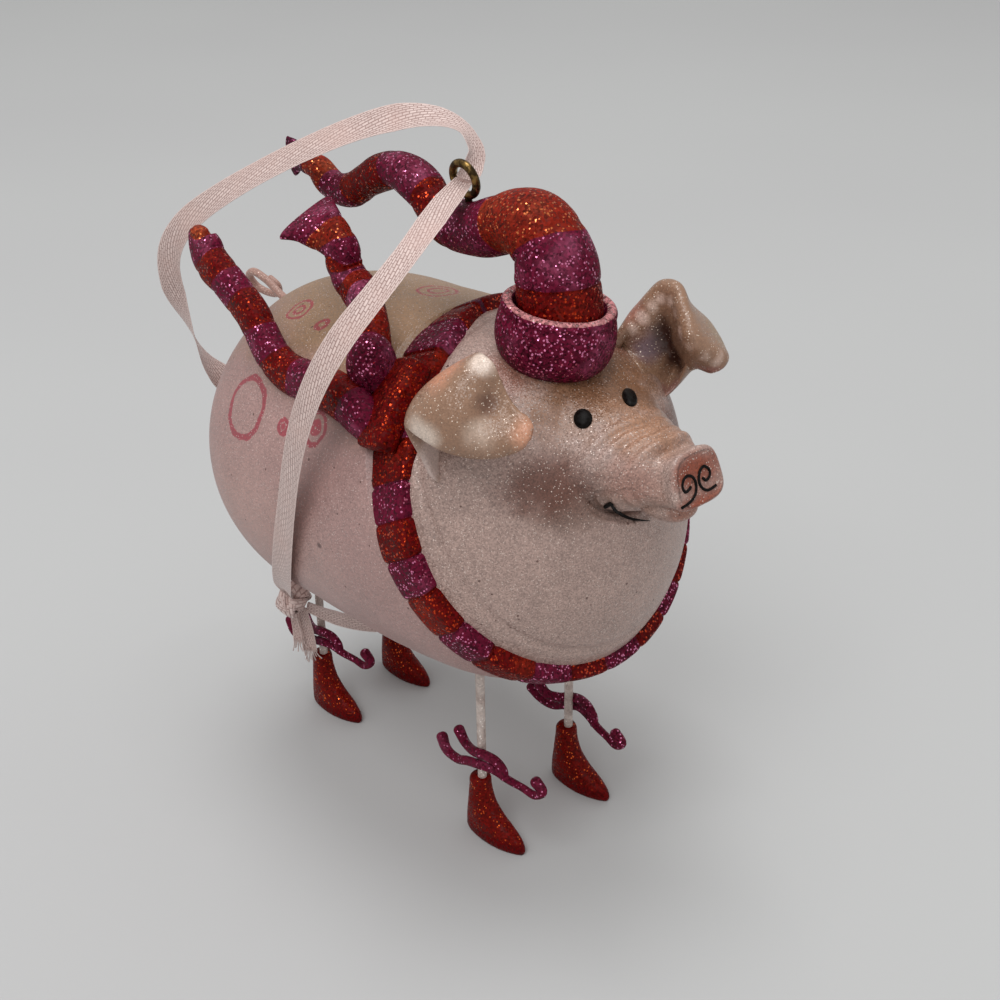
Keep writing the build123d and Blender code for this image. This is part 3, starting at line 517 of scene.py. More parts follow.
# Ribbon: the loop's two stretches, its knot and the two cut ends. Each route row is a place, then the
# direction that the ribbon's face looks, then its width as a share of the full width.
ribbon = {
    "width": 6.3, "thickness": 0.34, "columns": 28, "gutter": 0.12, "step": 0.9,
    "nodes": {"near": "near_run", "far": "far_run", "longEnd": "end_long", "shortEnd": "end_short"},
    "near": [
        (8.2, -0.2, 139.1, 0.3, -0.6, 0.7, 0.6), (10.3, -6, 137.4, 0.3, -0.6, 0.7, 0.84),
        (13.2, -12.5, 135.3, 0.2, -0.65, 0.7, 0.97), (15.6, -20.5, 131.4, 0.15, -0.8, 0.55, 0.92),
        (15.4, -28, 125.6, 0.1, -0.88, 0.45, 0.95), (13, -34, 118.8, 0.1, -0.92, 0.3, 0.97),
        (9.9, -37.8, 110.8, 0, -0.98, 0.15, 1), (6.2, -39.6, 101.4, -0.05, -1, 0.05, 1),
        (2.4, -39.9, 90.9, -0.1, -1, 0, 1), (-1.3, -39.4, 80.3, -0.1, -1, -0.05, 1),
        (-6.8, -37.8, 67.8, 0, -1, -0.15, 0.97), (-16, -33, 54.3, 0.15, -0.95, -0.2, 0.9),
        (-27, -26.2, 43.6, 0.25, -0.93, -0.2, 0.8), (-34.6, -20.2, 36.4, 0.3, -0.93, -0.2, 0.5),
    ],
    "far": [
        (-34, -15.8, 31.6, 0.3, -0.93, -0.1, 0.5), (-28, -12, 29.4, 0.3, -0.93, -0.1, 0.75),
        (-21.5, -6.5, 28.2, 0.25, -0.9, -0.25, 0.85), (-14.5, 1.5, 27.8, 0.1, -0.5, -0.8, 1),
        (-9, 11, 29.5, 0, 0.1, -1, 1), (-7.5, 22, 34.5, 0, 0.5, -0.85, 1), (-10, 31.5, 42.5, 0.1, 0.85, -0.5, 1),
        (-18, 37.5, 51, 0.1, 0.95, -0.2, 1), (-30, 38.5, 58.5, -0.1, 1, 0, 1), (-44, 33.5, 63.5, -0.45, 0.88, 0.1, 1),
        (-56, 21.5, 66.5, -0.75, 0.65, 0.1, 1), (-64, 7, 68.5, -0.95, 0.3, 0.1, 1),
        (-68.6, -6, 72, -0.95, -0.1, 0.2, 1), (-70.2, -13.8, 80, -0.6, -0.75, 0.2, 1),
        (-69.3, -17.4, 90.5, -0.2, -0.95, 0.1, 0.95), (-68.6, -21, 101, 0.45, -0.85, 0.25, 0.95),
        (-66.6, -22.4, 110.5, 0.4, -0.9, 0.25, 1), (-61.4, -20.8, 118.2, 0.35, -0.85, 0.45, 1),
        (-53, -17.8, 124.8, 0.2, -0.8, 0.6, 1), (-42.2, -13.9, 131.7, 0.1, -0.75, 0.7, 1),
        (-31.4, -9.2, 138, 0.1, -0.72, 0.75, 1), (-22, -3.8, 143, 0.15, -0.7, 0.75, 1),
        (-13.8, 1.2, 146.3, 0.25, -0.7, 0.7, 0.98), (-5.8, 5.2, 147.3, 0.3, -0.25, 0.92, 0.97),
        (1.8, 7, 145.4, 0.35, 0.4, 0.82, 0.95), (6.1, 5.6, 140.8, 0.9, 0.3, 0.4, 0.75),
        (8.2, -0.2, 139.1, 0.6, -0.5, 0.6, 0.55),
    ],
    "longEnd": [
        (-36.8, -17.8, 32.4, 0.4, -0.9, 0.1, 0.5), (-36.6, -15.9, 30, 0.45, -0.88, 0.1, 0.55),
        (-36.2, -15.6, 27, 0.5, -0.85, 0.1, 0.55), (-35.4, -15.2, 22.6, 0.5, -0.85, 0.1, 0.55),
        (-34.9, -15.4, 18.6, 0.45, -0.88, 0.1, 0.6),
    ],
    "shortEnd": [
        (-37.4, -17.6, 32, 0.2, -0.95, 0, 0.5), (-38, -16.9, 30, 0.1, -0.98, 0, 0.5),
        (-38.4, -16.6, 27, 0.1, -0.98, 0, 0.5), (-38.1, -16.4, 23.6, 0.2, -0.96, 0, 0.5),
        (-37.4, -16.6, 20.6, 0.3, -0.94, 0, 0.55),
    ],
    "seeds": {"longEnd": 11, "shortEnd": 12}, "thread": 0.13, "threads": 9, "fray": 3.6, "frayWide": 0.48,
    "knotMiddle": (-36.8, -17.8, 33.4), "knotCore": (2.5, 2.3, 2.7),
    # the knot's folds: the axis that each turns about, its two half axes, its half width and the angle it starts at
    "folds": [
        ((0.75, 0.35, -0.55), 2.7, 3.3, 2.5, 0.0), ((0.2, 0.55, 0.8), 3.2, 2.4, 1.9, 0.7),
        ((0.9, -0.2, 0.35), 2.3, 3.0, 2.1, 1.4),
    ],
    "gapTone": colour(150, 120, 114), "yarnTone": colour(220, 198, 192), "warmTone": colour(206, 172, 163),
    "shineTone": colour(250, 240, 236),
}


def makeSatin():
    # woven satin: short floats in offset rows like laid bricks, with dark gaps, firmer yarns at both edges, and pale
    # streaks along it that are a painted sheen
    material, tree, shader = startMaterial("satinRibbon")
    where = surfacePlace(tree)
    slant = scaled(tree, where, (62.0, 62.0, 1.0), (0, 0, 0.16))
    weave = addNode(tree, "TexBrick", {
        "Vector": slant, "Color1": (1, 1, 1, 1), "Color2": (0.72, 0.72, 0.72, 1), "Mortar": (0, 0, 0, 1),
        "Scale": 1.0, "Mortar Size": 0.085, "Mortar Smooth": 0.8, "Bias": 0.0, "Brick Width": 0.9, "Row Height": 0.34,
    }).outputs["Color"]
    height = addNode(tree, "SeparateColor", {0: weave}).outputs[0]
    streak = noise(tree, scaled(tree, where, (90.0, 1600.0, 1.0)), 1.0, 3.0)
    base = mixColour(tree, height, ribbon["gapTone"], ribbon["yarnTone"])
    warm = mixColour(tree, fade(tree, noise(tree, where, 9.0, 2.0), 0.4, 0.75, 0.0, 0.4), base, ribbon["warmTone"])
    selvage = fade(tree, maths(tree, "ABSOLUTE", splitAxes(tree, where)["Y"]), 0.0268, 0.0292)
    edged = mixColour(tree, maths(tree, "MULTIPLY", selvage, 0.7), warm, ribbon["yarnTone"])
    relief = maths(tree, "ADD", maths(tree, "MULTIPLY", streak, 0.4), maths(tree, "ADD", height, selvage))
    feed(tree, shader, {
        # painted sheen: pale streaks along the ribbon, mixed into its colour
        "Base Color": mixColour(tree, fade(tree, streak, 0.5, 0.75, 0.0, 0.4), edged, ribbon["shineTone"]),
        "Roughness": fade(tree, streak, 0.3, 0.7, 0.5, 0.32), "Specular IOR Level": 0.3,
        "Sheen Weight": 0.12, "Sheen Roughness": 0.35, "Normal": bumps(tree, relief, 0.6, 0.0001),
    })
    return material


def smoothRoute(name, rows):
    # points read from the route's NURBS spline, spread evenly, with the rows' other values carried along
    rows = np.array(rows, float)
    curve = bpy.data.curves.new(name, "CURVE")
    curve.dimensions = "3D"
    spline = curve.splines.new("NURBS")
    spline.points.add(len(rows) - 1)
    weighted = np.column_stack([rows[:, :3] * metre, np.ones(len(rows))])
    spline.points.foreach_set("co", weighted.astype(np.float32).ravel())
    spline.order_u, spline.use_endpoint_u, spline.resolution_u = 3, True, 16
    holder = bpy.data.objects.new(name, curve)
    read = bpy.data.meshes.new_from_object(holder)
    places = np.empty(len(read.vertices) * 3, np.float32)
    read.vertices.foreach_get("co", places)
    places = places.reshape(-1, 3).astype(float) / metre
    bpy.data.meshes.remove(read)
    bpy.data.objects.remove(holder)
    bpy.data.curves.remove(curve)
    way = wayAlong(places)
    line = readColumns(np.linspace(0, way[-1], max(int(way[-1] / ribbon["step"]), 8)), way, places)
    nearest = np.argmin(np.linalg.norm(line[:, None] - rows[None, :, :3], axis=2), axis=0)
    nearest = np.maximum.accumulate(nearest)
    nearest[0], nearest[-1] = 0, len(line) - 1
    return line, readColumns(np.arange(len(line)), nearest, rows[:, 3:]), float(way[-1])


def bandAlong(line, carried):
    # flat band: width across the line, a slight gutter along its middle
    across = np.cross(unit(np.gradient(line, axis=0)), unit(carried[:, :3]))
    half = ribbon["width"] / 2 * carried[:, 3]
    gutter = (1 - carried[:, 3]) * 2.2 + ribbon["gutter"]
    columns = ribbon["columns"]
    band = sweepBand(line, across, half, ribbon["thickness"] / 2, columns, power=2.6, domes=(0.3, 0.3), cup=gutter)
    band["map"][..., 1] = np.cos(np.arange(columns + 1) / columns * 2 * math.pi) * ribbon["width"] / 200
    return band


def frayedThreads(line, across, seedling):
    # loose warp yarns beyond a cut end: thin tubes that spread and wander
    rng = np.random.default_rng(seedling)
    shells = []
    ahead = unit(line[-1] - line[-4])
    steps = np.linspace(0, 1, 8)[:, None]
    for index in range(ribbon["threads"]):
        offset = (index / (ribbon["threads"] - 1) - 0.5) * ribbon["width"] * ribbon["frayWide"]
        reach = ribbon["fray"] * rng.uniform(0.45, 1.0)
        spread = across * offset * 0.25 + rng.normal(0, 0.5, 3)
        path = line[-1] + across * offset + ahead * (steps * reach - 0.4) + spread * steps ** 2
        shells.append(sweepBand(path, across, ribbon["thread"], ribbon["thread"], 8))
    return shells


def knotShells():
    # flat loops round the knot's middle, each tipped another way, on a small core
    middle = np.array(ribbon["knotMiddle"])
    shells = []
    for tip, wide, tall, half, start in ribbon["folds"]:
        axis = unit(np.array(tip))
        first = unit(np.cross(axis, (0.1, 0.2, 1.0)))
        second = np.cross(axis, first)
        turn = np.linspace(start, start + 2 * math.pi, 64)[:, None]
        path = middle + first * wide * np.cos(turn) + second * tall * np.sin(turn)
        path = path + axis * 0.8 * np.sin(2 * turn + start)
        shells.append(sweepBand(path, axis + 0.25 * np.cos(turn * 2) * first, half, 0.42, 24, power=2.4, cup=0.35))
    shells.append(roundForm(middle, ribbon["knotCore"]))
    for shell in shells:
        shell["map"] = shell["map"] * (1.0, 0.06)
    return shells


def makeRibbon():
    # bands along the four routes and the knot
    satin = makeSatin()
    pieces, lines = {}, {}
    for key, ending in ribbon["nodes"].items():
        line, carried, length = smoothRoute(key, ribbon[key])
        lines[key] = (line, length)
        shells = [bandAlong(line, carried)]
        if key in ribbon["seeds"]:
            across = unit(np.cross(line[-1] - line[-4], carried[-1, :3]))
            shells += frayedThreads(line, across, ribbon["seeds"][key])
        pieces[key] = makePiece(f"satin_ribbon_{ending}", shells, satin, [f"ribbon_{ending}"])
    knot = makePiece("satin_ribbon_knot", knotShells(), satin, ["ribbon_knot"])
    print("ribbon lengths, mm:", {key: round(value[1], 1) for key, value in lines.items()})


makeRibbon()
print("ribbon is made")

# Torso
torso = {
    "middle": (0, 0, 75.8), "pitch": 4.5, "halfLength": 51.0, "radius": 36.8, "rump": 4.0, "breast": 3.4,
    "rows": 170, "columns": 280, "behindBand": 3.7, "wobble": 0.1,
    "side": colour(166, 132, 127),
    "back": (colour(150, 118, 90), 0.094, 0.108),  # tone, and the heights between which it sets in
    "flake": colour(204, 180, 174), "ring": colour(150, 30, 54),
    # painted rings: middle, radius and line
    "rings": [
        ((-24.6, -31.5, 91.4), 6.2, 0.62), ((-10.5, -32.1, 92.4), 1.5, 0.5), ((-10.5, -32.1, 92.4), 0.3, 0.6),
        ((-1.3, -31.1, 95.1), 3.2, 0.5), ((-1.3, -31.1, 95.1), 1, 0.8), ((-28.1, -14.6, 106.7), 2.9, 0.34),
        ((-28.1, -14.6, 106.7), 1.3, 0.34), ((-6.4, 4.2, 111.9), 3.9, 0.34), ((-6.4, 4.2, 111.9), 1.9, 0.34),
        ((-17.6, -16.6, 107.1), 1.4, 0.5),
    ],
    # soft zones here and below: tone, middle, reach and strength; most are airbrushed paint, some on the head and
    # ears are painted highlights and painted shade
    "zones": [
        ((120, 66, 52), (2, -26, 100), (16, 10, 9), 0.35), ((196, 160, 150), (-20, -37, 66), (40, 9, 24), 0.35),
        ((70, 40, 38), (5.3, -36.6, 74.2), (1, 1.5, 0.8), 0.8),
    ],
}
collar = {"middle": (27.8, 0, 82.3), "pitch": 31.7}
collarMiddle = np.array(collar["middle"], float)
collarAhead, collarUp = pitched(collar["pitch"])


def castWobble(points, depth):
    # slow unevenness of a hand-poured casting: a product of long sine waves in three directions
    x, y, z = points[..., 0], points[..., 1], points[..., 2]
    waves = np.sin(0.19 * x + 0.11 * z + 1.3) * np.sin(0.16 * y - 0.13 * z + 0.4)
    return depth * (waves + 0.5 * np.sin(0.37 * x - 0.29 * y + 2.1))


def makeSkin(
    name, base, flake, speckShare, zones=(), rings=(), ringTone=None, topTone=None,
    roughness=0.42, sparkle=0.06, depth=0.2,
):
    # nacreous paint with fine glitter, soft zones of airbrushed paint and, on the head and ears, of painted highlight
    # and painted shade, sparse dark specks, and rings where there are any
    material, tree, shader = startMaterial(name)
    place = objectPlace(tree)
    cloud = noise(tree, place, 90.0, 4.0)
    darker = tuple(part * 0.8 for part in base[:3]) + (1,)
    paint = mixColour(tree, fade(tree, cloud, 0.35, 0.7, 0.0, 0.35), base, darker)
    if topTone:
        tone, low, high = topTone
        level = maths(tree, "ADD", splitAxes(tree, place)["Z"], drift(tree, cloud, 0.012))
        paint = mixColour(tree, fade(tree, level, low, high), paint, tone)
    for patch, centre, reach, strength in zones:
        paint = useGroup(tree, blushAndLight, {
            "Paint": paint, "Patch": colour(*patch), "Centre": tuple(part * metre for part in centre),
            "Reach": tuple(part * metre for part in reach), "Strength": strength,
        })["Colour"]
    masks = [
        useGroup(tree, paintedRing, {
            "Centre": tuple(part * metre for part in centre), "Radius": radius * metre, "Line": line * metre,
        })["Mask"] for centre, radius, line in rings
    ]
    if masks:
        for mask in masks[1:]:
            masks[0] = maths(tree, "MAXIMUM", masks[0], mask)
        paint = mixColour(tree, maths(tree, "MULTIPLY", masks[0], 0.8), paint, ringTone)
    coat = coatOf(tree, paint, flake, 4200.0, sparkle, depth, 0.38)
    specks = useGroup(tree, speckle, {"Grain": 620.0, "Share": speckShare, "Size": 0.13})["Mask"]
    feed(tree, shader, {
        "Base Color": mixColour(tree, maths(tree, "MULTIPLY", specks, 0.75), coat["Colour"], colour(70, 36, 26)),
        "Roughness": flakeShine(tree, coat, roughness, 0.3), "Metallic": flakeShine(tree, coat, 0.0, 0.18),
        "Normal": coat["Normal"], "Specular IOR Level": 0.55,
    })
    return material


def makeTorso():
    # superellipse meridians turned about the pitched axis, from the rump to just behind the band
    middle = np.array(torso["middle"], float)
    axis, upward = pitched(torso["pitch"])
    sweep = np.linspace(math.pi, 0, 4000)
    power = np.where(np.cos(sweep) > 0, 2 / torso["breast"], 2 / torso["rump"])
    along = torso["halfLength"] * rounded(np.cos(sweep), power)
    radius = torso["radius"] * np.abs(np.sin(sweep)) ** power
    way = wayAlong(np.stack([along, radius], axis=1))
    angle = fullTurn(torso["columns"])
    outward = np.cos(angle)[:, None] * upward + np.sin(angle)[:, None] * left
    beyond = (
        (middle - collarMiddle) @ collarAhead + along[:, None] * (axis @ collarAhead)
        + radius[:, None] * (outward @ collarAhead) + torso["behindBand"]
    )
    share = np.linspace(0.004, 1, torso["rows"])[:, None]
    spot = way[np.argmax(beyond > 0, axis=0)][None, :] * share
    points = middle + np.interp(spot, way, along)[..., None] * axis
    points = points + np.interp(spot, way, radius)[..., None] * outward[None]
    points = points + castWobble(points, torso["wobble"])[..., None] * outward[None]
    skin = makeSkin(
        "torsoSkin", torso["side"], torso["flake"], 0.12, torso["zones"], torso["rings"], torso["ring"], torso["back"]
    )
    shell = {"grid": points, "map": surfaceMap(share, torso["columns"])}
    makePiece("glitter_torso", [shell], skin, ["torso"])


makeTorso()
print("torso is made")


def bothSides(tone, middle, reach, strength):
    # a zone on the right side and its mirror on the left one
    return [(tone, (middle[0], side * middle[1], middle[2]), reach, strength) for side in (-1, 1)]


# Head: one polar surface from the middle of the nose, over the muzzle and the dome, to the band
head = {
    "domeRise": 29.7, "domeUp": 36.1, "domeSide": 33.7, "domeLift": 2.4, "domePower": 1.52,
    "rimUp": 34.3, "rimSide": 32.2, "rimShare": 0.9837, "rimRises": (2.3, 0.0, -3.2), "columns": 240, "wobble": 0.07,
    "noseMiddle": (67.9, 0, 100.1), "noseTilt": 19.0, "noseTop": 5.5, "noseBottom": 6.7, "noseTall": 5.1,
    "noseEdge": 0.8, "noseCorner": 0.58, "noseHollow": 0.22, "footWide": 12.9, "footTall": 11.0, "footHeight": 97.4,
    "noseWall": [(0.97, 2.0), (0.93, 4.2)],  # share of the nose's outline, distance behind its face
    # rings of the muzzle: place ahead, half width, half height, height of the middle and squareness
    "muzzle": [(60.6, 7.4, 6.4, 98.9, 0.86), (55.9, 8.9, 8.0, 97.8, 0.92), (51.4, 10.7, 9.5, 97.3, 0.96)],
    "steps": [3, 6, 12, 14, 12, 9] + [7] * 13,
    "browMiddle": (39, 18, 104), "browReach": 8.5, "browRise": 2.6,
    "creases": [(52.6, 0.35), (55.4, 0.5), (58.0, 0.55), (60.4, 0.5), (62.8, 0.4)],  # place ahead, depth
    "creaseWide": 0.62, "creaseSlant": 0.3,
    "grooveDepth": 0.45, "groovePlace": 7.4, "grooveWide": 0.8,
    "lip": ((60.6, 0, 92.9), (6.2, 4.4, 3.3)),
    "skin": colour(168, 142, 133), "flake": colour(216, 196, 186),
    "zones": [
        ((124, 88, 64), (43, 2, 109.5), (20, 28, 13), 1.0), ((156, 114, 88), (56, 0, 104.5), (12, 10, 7), 0.9),
        # the second zone on the next line darkens the lower right face below the ear: partly darker cheek paint,
        # partly painted shade beneath the ear
        ((146, 112, 96), (58, -5, 96), (12, 8, 8), 0.6), ((104, 78, 66), (50, -13, 92), (13, 11, 8), 0.65),
        *bothSides((98, 54, 40), (47, 16, 96), (15, 11, 8), 0.8),
        *bothSides((134, 88, 74), (31, 13, 111), (9, 12, 8), 0.85),
        *bothSides((168, 122, 110), (59, 7, 98), (9, 5, 6), 0.6), ((138, 68, 46), (70.2, 0, 95.5), (3.2, 12, 6), 1.0),
        ((138, 68, 46), (67.9, 0, 102), (2.8, 12, 5), 1.0), ((150, 96, 76), (66, 0, 93), (5, 6, 4), 0.8),
    ],
}
noseAhead, noseUp = pitched(head["noseTilt"])
noseMiddle = np.array(head["noseMiddle"], float)


def domePoint(across, upward):
    # across and upward are the two parts of the polar share; the rise falls with its power towards the rim
    share = np.clip(np.hypot(across, upward), 0, 1)
    rise = head["domeRise"] * (1 - share ** head["domePower"]) ** (1 / head["domePower"])
    up = head["domeUp"] * upward + head["domeLift"] * (1 - share ** 2)
    point = collarMiddle + rise[..., None] * collarAhead + up[..., None] * collarUp
    return point + (head["domeSide"] * across)[..., None] * left


def domeShares(side, height):
    # the dome's polar parts at a place seen along X: bisection on how far ahead the surface lies
    near, far = np.full(side.shape, 20.0), np.full(side.shape, 60.0)
    for _ in range(40):
        ahead = (near + far) / 2
        offset = np.stack([ahead, side, height], -1) - collarMiddle
        rise = np.clip(offset @ collarAhead / head["domeRise"], 0, 1)
        share = (1 - rise ** head["domePower"]) ** (1 / head["domePower"])
        upward = (offset @ collarUp - head["domeLift"] * (1 - share ** 2)) / head["domeUp"]
        inside = np.hypot(upward, side / head["domeSide"]) < share
        near, far = np.where(inside, ahead, near), np.where(inside, far, ahead)
    return side / head["domeSide"], upward


def noseRing(angle, share, back):
    # rounded trapezium, wider at its lower edge, at a distance behind the nose's face
    side, rise = rounded(np.sin(angle), head["noseCorner"]), rounded(np.cos(angle), head["noseCorner"])
    wide = head["noseTop"] + (head["noseBottom"] - head["noseTop"]) * (1 - rise) / 2
    return (
        noseMiddle + (side * wide * share)[:, None] * left + (rise * head["noseTall"] * share)[:, None] * noseUp
        - back * noseAhead
    )


def muzzleRing(angle, ahead, wide, tall, height, soft):
    # superellipse that stands square to X
    side, rise = rounded(np.sin(angle), soft) * wide, rounded(np.cos(angle), soft) * tall
    return np.stack([np.full(angle.shape, ahead), side, height + rise], -1)


def headGrid():
    # rings of the nose, cubics through the muzzle's and the dome's rings, then the rim; relief along the normals
    angle = fullTurn(head["columns"])
    face = [noseRing(angle, share, head["noseHollow"] * (1 - share ** 2)) for share in np.linspace(0.04, 0.84, 12)]
    corner = [
        noseRing(angle, 1 - 0.16 * (1 - math.sin(turn)), 0.05 + head["noseEdge"] * (1 - math.cos(turn)))
        for turn in np.linspace(0, math.pi / 2, 7)
    ]
    sine, cosine = np.sin(angle), np.cos(angle)
    footAcross, footUp = domeShares(head["footWide"] * sine, head["footHeight"] + head["footTall"] * cosine)
    rimAcross, rimUp = head["rimShare"] * sine, head["rimShare"] * cosine
    dome = [
        domePoint(footAcross * (1 - part) + rimAcross * part, footUp * (1 - part) + rimUp * part)
        for part in 1 - (1 - np.linspace(0, 1, 14)) ** 1.5
    ]
    wall = [corner[-1]] + [noseRing(angle, *row) for row in head["noseWall"]]
    wall += [muzzleRing(angle, *row) for row in head["muzzle"]]
    rim = [
        collarMiddle + rise * collarAhead + (head["rimUp"] * cosine)[:, None] * collarUp
        + (head["rimSide"] * sine)[:, None] * left for rise in head["rimRises"]
    ]
    grid = np.concatenate([np.array(face + corner[:-1]), throughRings(wall + dome, head["steps"]), np.array(rim)])
    normal = unit(np.cross(np.gradient(grid, axis=0), np.roll(grid, -1, axis=1) - np.roll(grid, 1, axis=1)))
    normal = np.where(((normal @ collarAhead) < -0.2)[..., None], -normal, normal)
    # fuller brow: a soft swelling beside each eye
    for side in (-1, 1):
        away = np.linalg.norm(grid - np.array(head["browMiddle"]) * (1, side, 1), axis=2)
        grid = grid + (head["browRise"] * np.exp(-((away / head["browReach"]) ** 2) / 2))[..., None] * normal
    # creases over the top of the muzzle: narrow troughs across it, slanting back to each side
    x, y = grid[..., 0], grid[..., 1]
    upper = np.clip((normal[..., 2] - 0.15) / 0.4, 0, 1) * np.clip((66.5 - x) / 1.5, 0, 1)
    depth = np.zeros(x.shape)
    for place, deep in head["creases"]:
        depth += deep * np.exp(-(((x + head["creaseSlant"] * np.abs(y) - place) / head["creaseWide"]) ** 2))
    grid = grid - (depth * upper)[..., None] * normal
    # shallow groove in front of the scarf's band
    ahead = (grid - collarMiddle) @ collarAhead
    groove = head["grooveDepth"] * np.exp(-(((ahead - head["groovePlace"]) / head["grooveWide"]) ** 2))
    grid = grid - groove[..., None] * normal
    return grid + castWobble(grid, head["wobble"])[..., None] * normal


face = {
    # each eye: its middle, then two half axes of its outline
    "eyes": [
        ((46.96, -7.29, 106.22), (1.36, 1, 0.15), (1.3, -1.26, -1.01)),
        ((48.13, 3.19, 107.3), (2.6, -1.18, -0.18), (-0.92, 2.24, -0.3)),
    ],
    "eyeBulge": 1.0, "line": 0.27, "lineTone": colour(10, 6, 5), "lineSteps": 90,
    # the nostrils' curls on the nose's face: aside and up from its middle
    "curls": [
        [
            (-2.32, -0.98), (-2.93, -1.3), (-3.74, -1.39), (-4.2, -0.32), (-3.63, 0.75), (-2.5, 1.09), (-1.37, 0.51),
            (-0.95, -0.73), (-1.38, -2.22), (-2.42, -3.12), (-3.84, -3.53), (-5.3, -3.68),
        ],
        [
            (0.94, -0.48), (1.55, -1.06), (2.4, -0.81), (2.87, -0.07), (2.4, 1), (1.75, 1.41), (0.9, 1.17),
            (0.04, 0.01), (-0.06, -1.22), (0.65, -2.38), (1.54, -2.87), (2.58, -2.87), (3.66, -2.71),
        ],
    ],
    # the mouth's line: place and radius
    "mouth": [
        (53.5, -8.15, 91.4, 0.3), (53.8, -7.7, 91.75, 0.42), (54.5, -7.6, 92.35, 0.36), (54.25, -6.95, 91.4, 0.28),
        (54, -5.95, 90.15, 0.32), (53.6, -4.5, 88.85, 0.32), (53.9, -2.85, 87.5, 0.28), (54.45, -1.8, 86.9, 0.24),
        (55, -0.3, 86.3, 0.16), (55.35, 2, 85.4, 0.05),
    ],
    "mouthLift": (0.2, -0.17, 0.15),
}


def makePaintLine(name, tone):
    # thin black paint, a little worn
    material, tree, shader = startMaterial(name)
    cloud = noise(tree, objectPlace(tree), 1500.0, 3.0)
    worn = tuple(part + 0.006 for part in tone[:3]) + (1,)
    feed(tree, shader, {
        "Base Color": mixColour(tree, fade(tree, cloud, 0.4, 0.7), tone, worn), "Specular IOR Level": 0.1,
        "Roughness": fade(tree, cloud, 0.3, 0.7, 0.35, 0.55), "Normal": bumps(tree, cloud, 0.3, 0.00005),
    })
    return material


def makeHead():
    # the head with its lip, then the painted eyes, nostrils and mouth as thin raised forms
    grid = headGrid()
    rows, columns = grid.shape[:2]
    shell = {"grid": grid, "map": surfaceMap(np.arange(rows)[:, None] / rows, columns)}
    skin = makeSkin(
        "headSkin", head["skin"], head["flake"], 0.14, head["zones"], sparkle=0.075, depth=0.3, roughness=0.36
    )
    makePiece("glitter_head", [shell, roundForm(*head["lip"], power=2.3)], skin, ["head"])
    shells = []
    for place, first, second in np.array(face["eyes"]):
        reach = (np.linalg.norm(first), np.linalg.norm(second), face["eyeBulge"])
        shells.append(roundForm(place, reach, (unit(first), unit(second), unit(np.cross(first, second)))))
    for curl in face["curls"]:
        line, _ = followTable([(aside, up, 0) for aside, up in curl], face["lineSteps"])
        path = noseMiddle + line[:, :1] * left + line[:, 1:2] * noseUp - noseAhead * 0.08
        shells.append(sweepBand(path, noseAhead, face["line"] * 0.75, face["line"], 12))
    line, _ = followTable(face["mouth"], face["lineSteps"])
    shells.append(sweepBand(line[:, :3] + face["mouthLift"], collarUp, line[:, 3], line[:, 3], 12))
    makePiece("face_lines", shells, makePaintLine("faceLine", face["lineTone"]))


makeHead()
print("head is made")

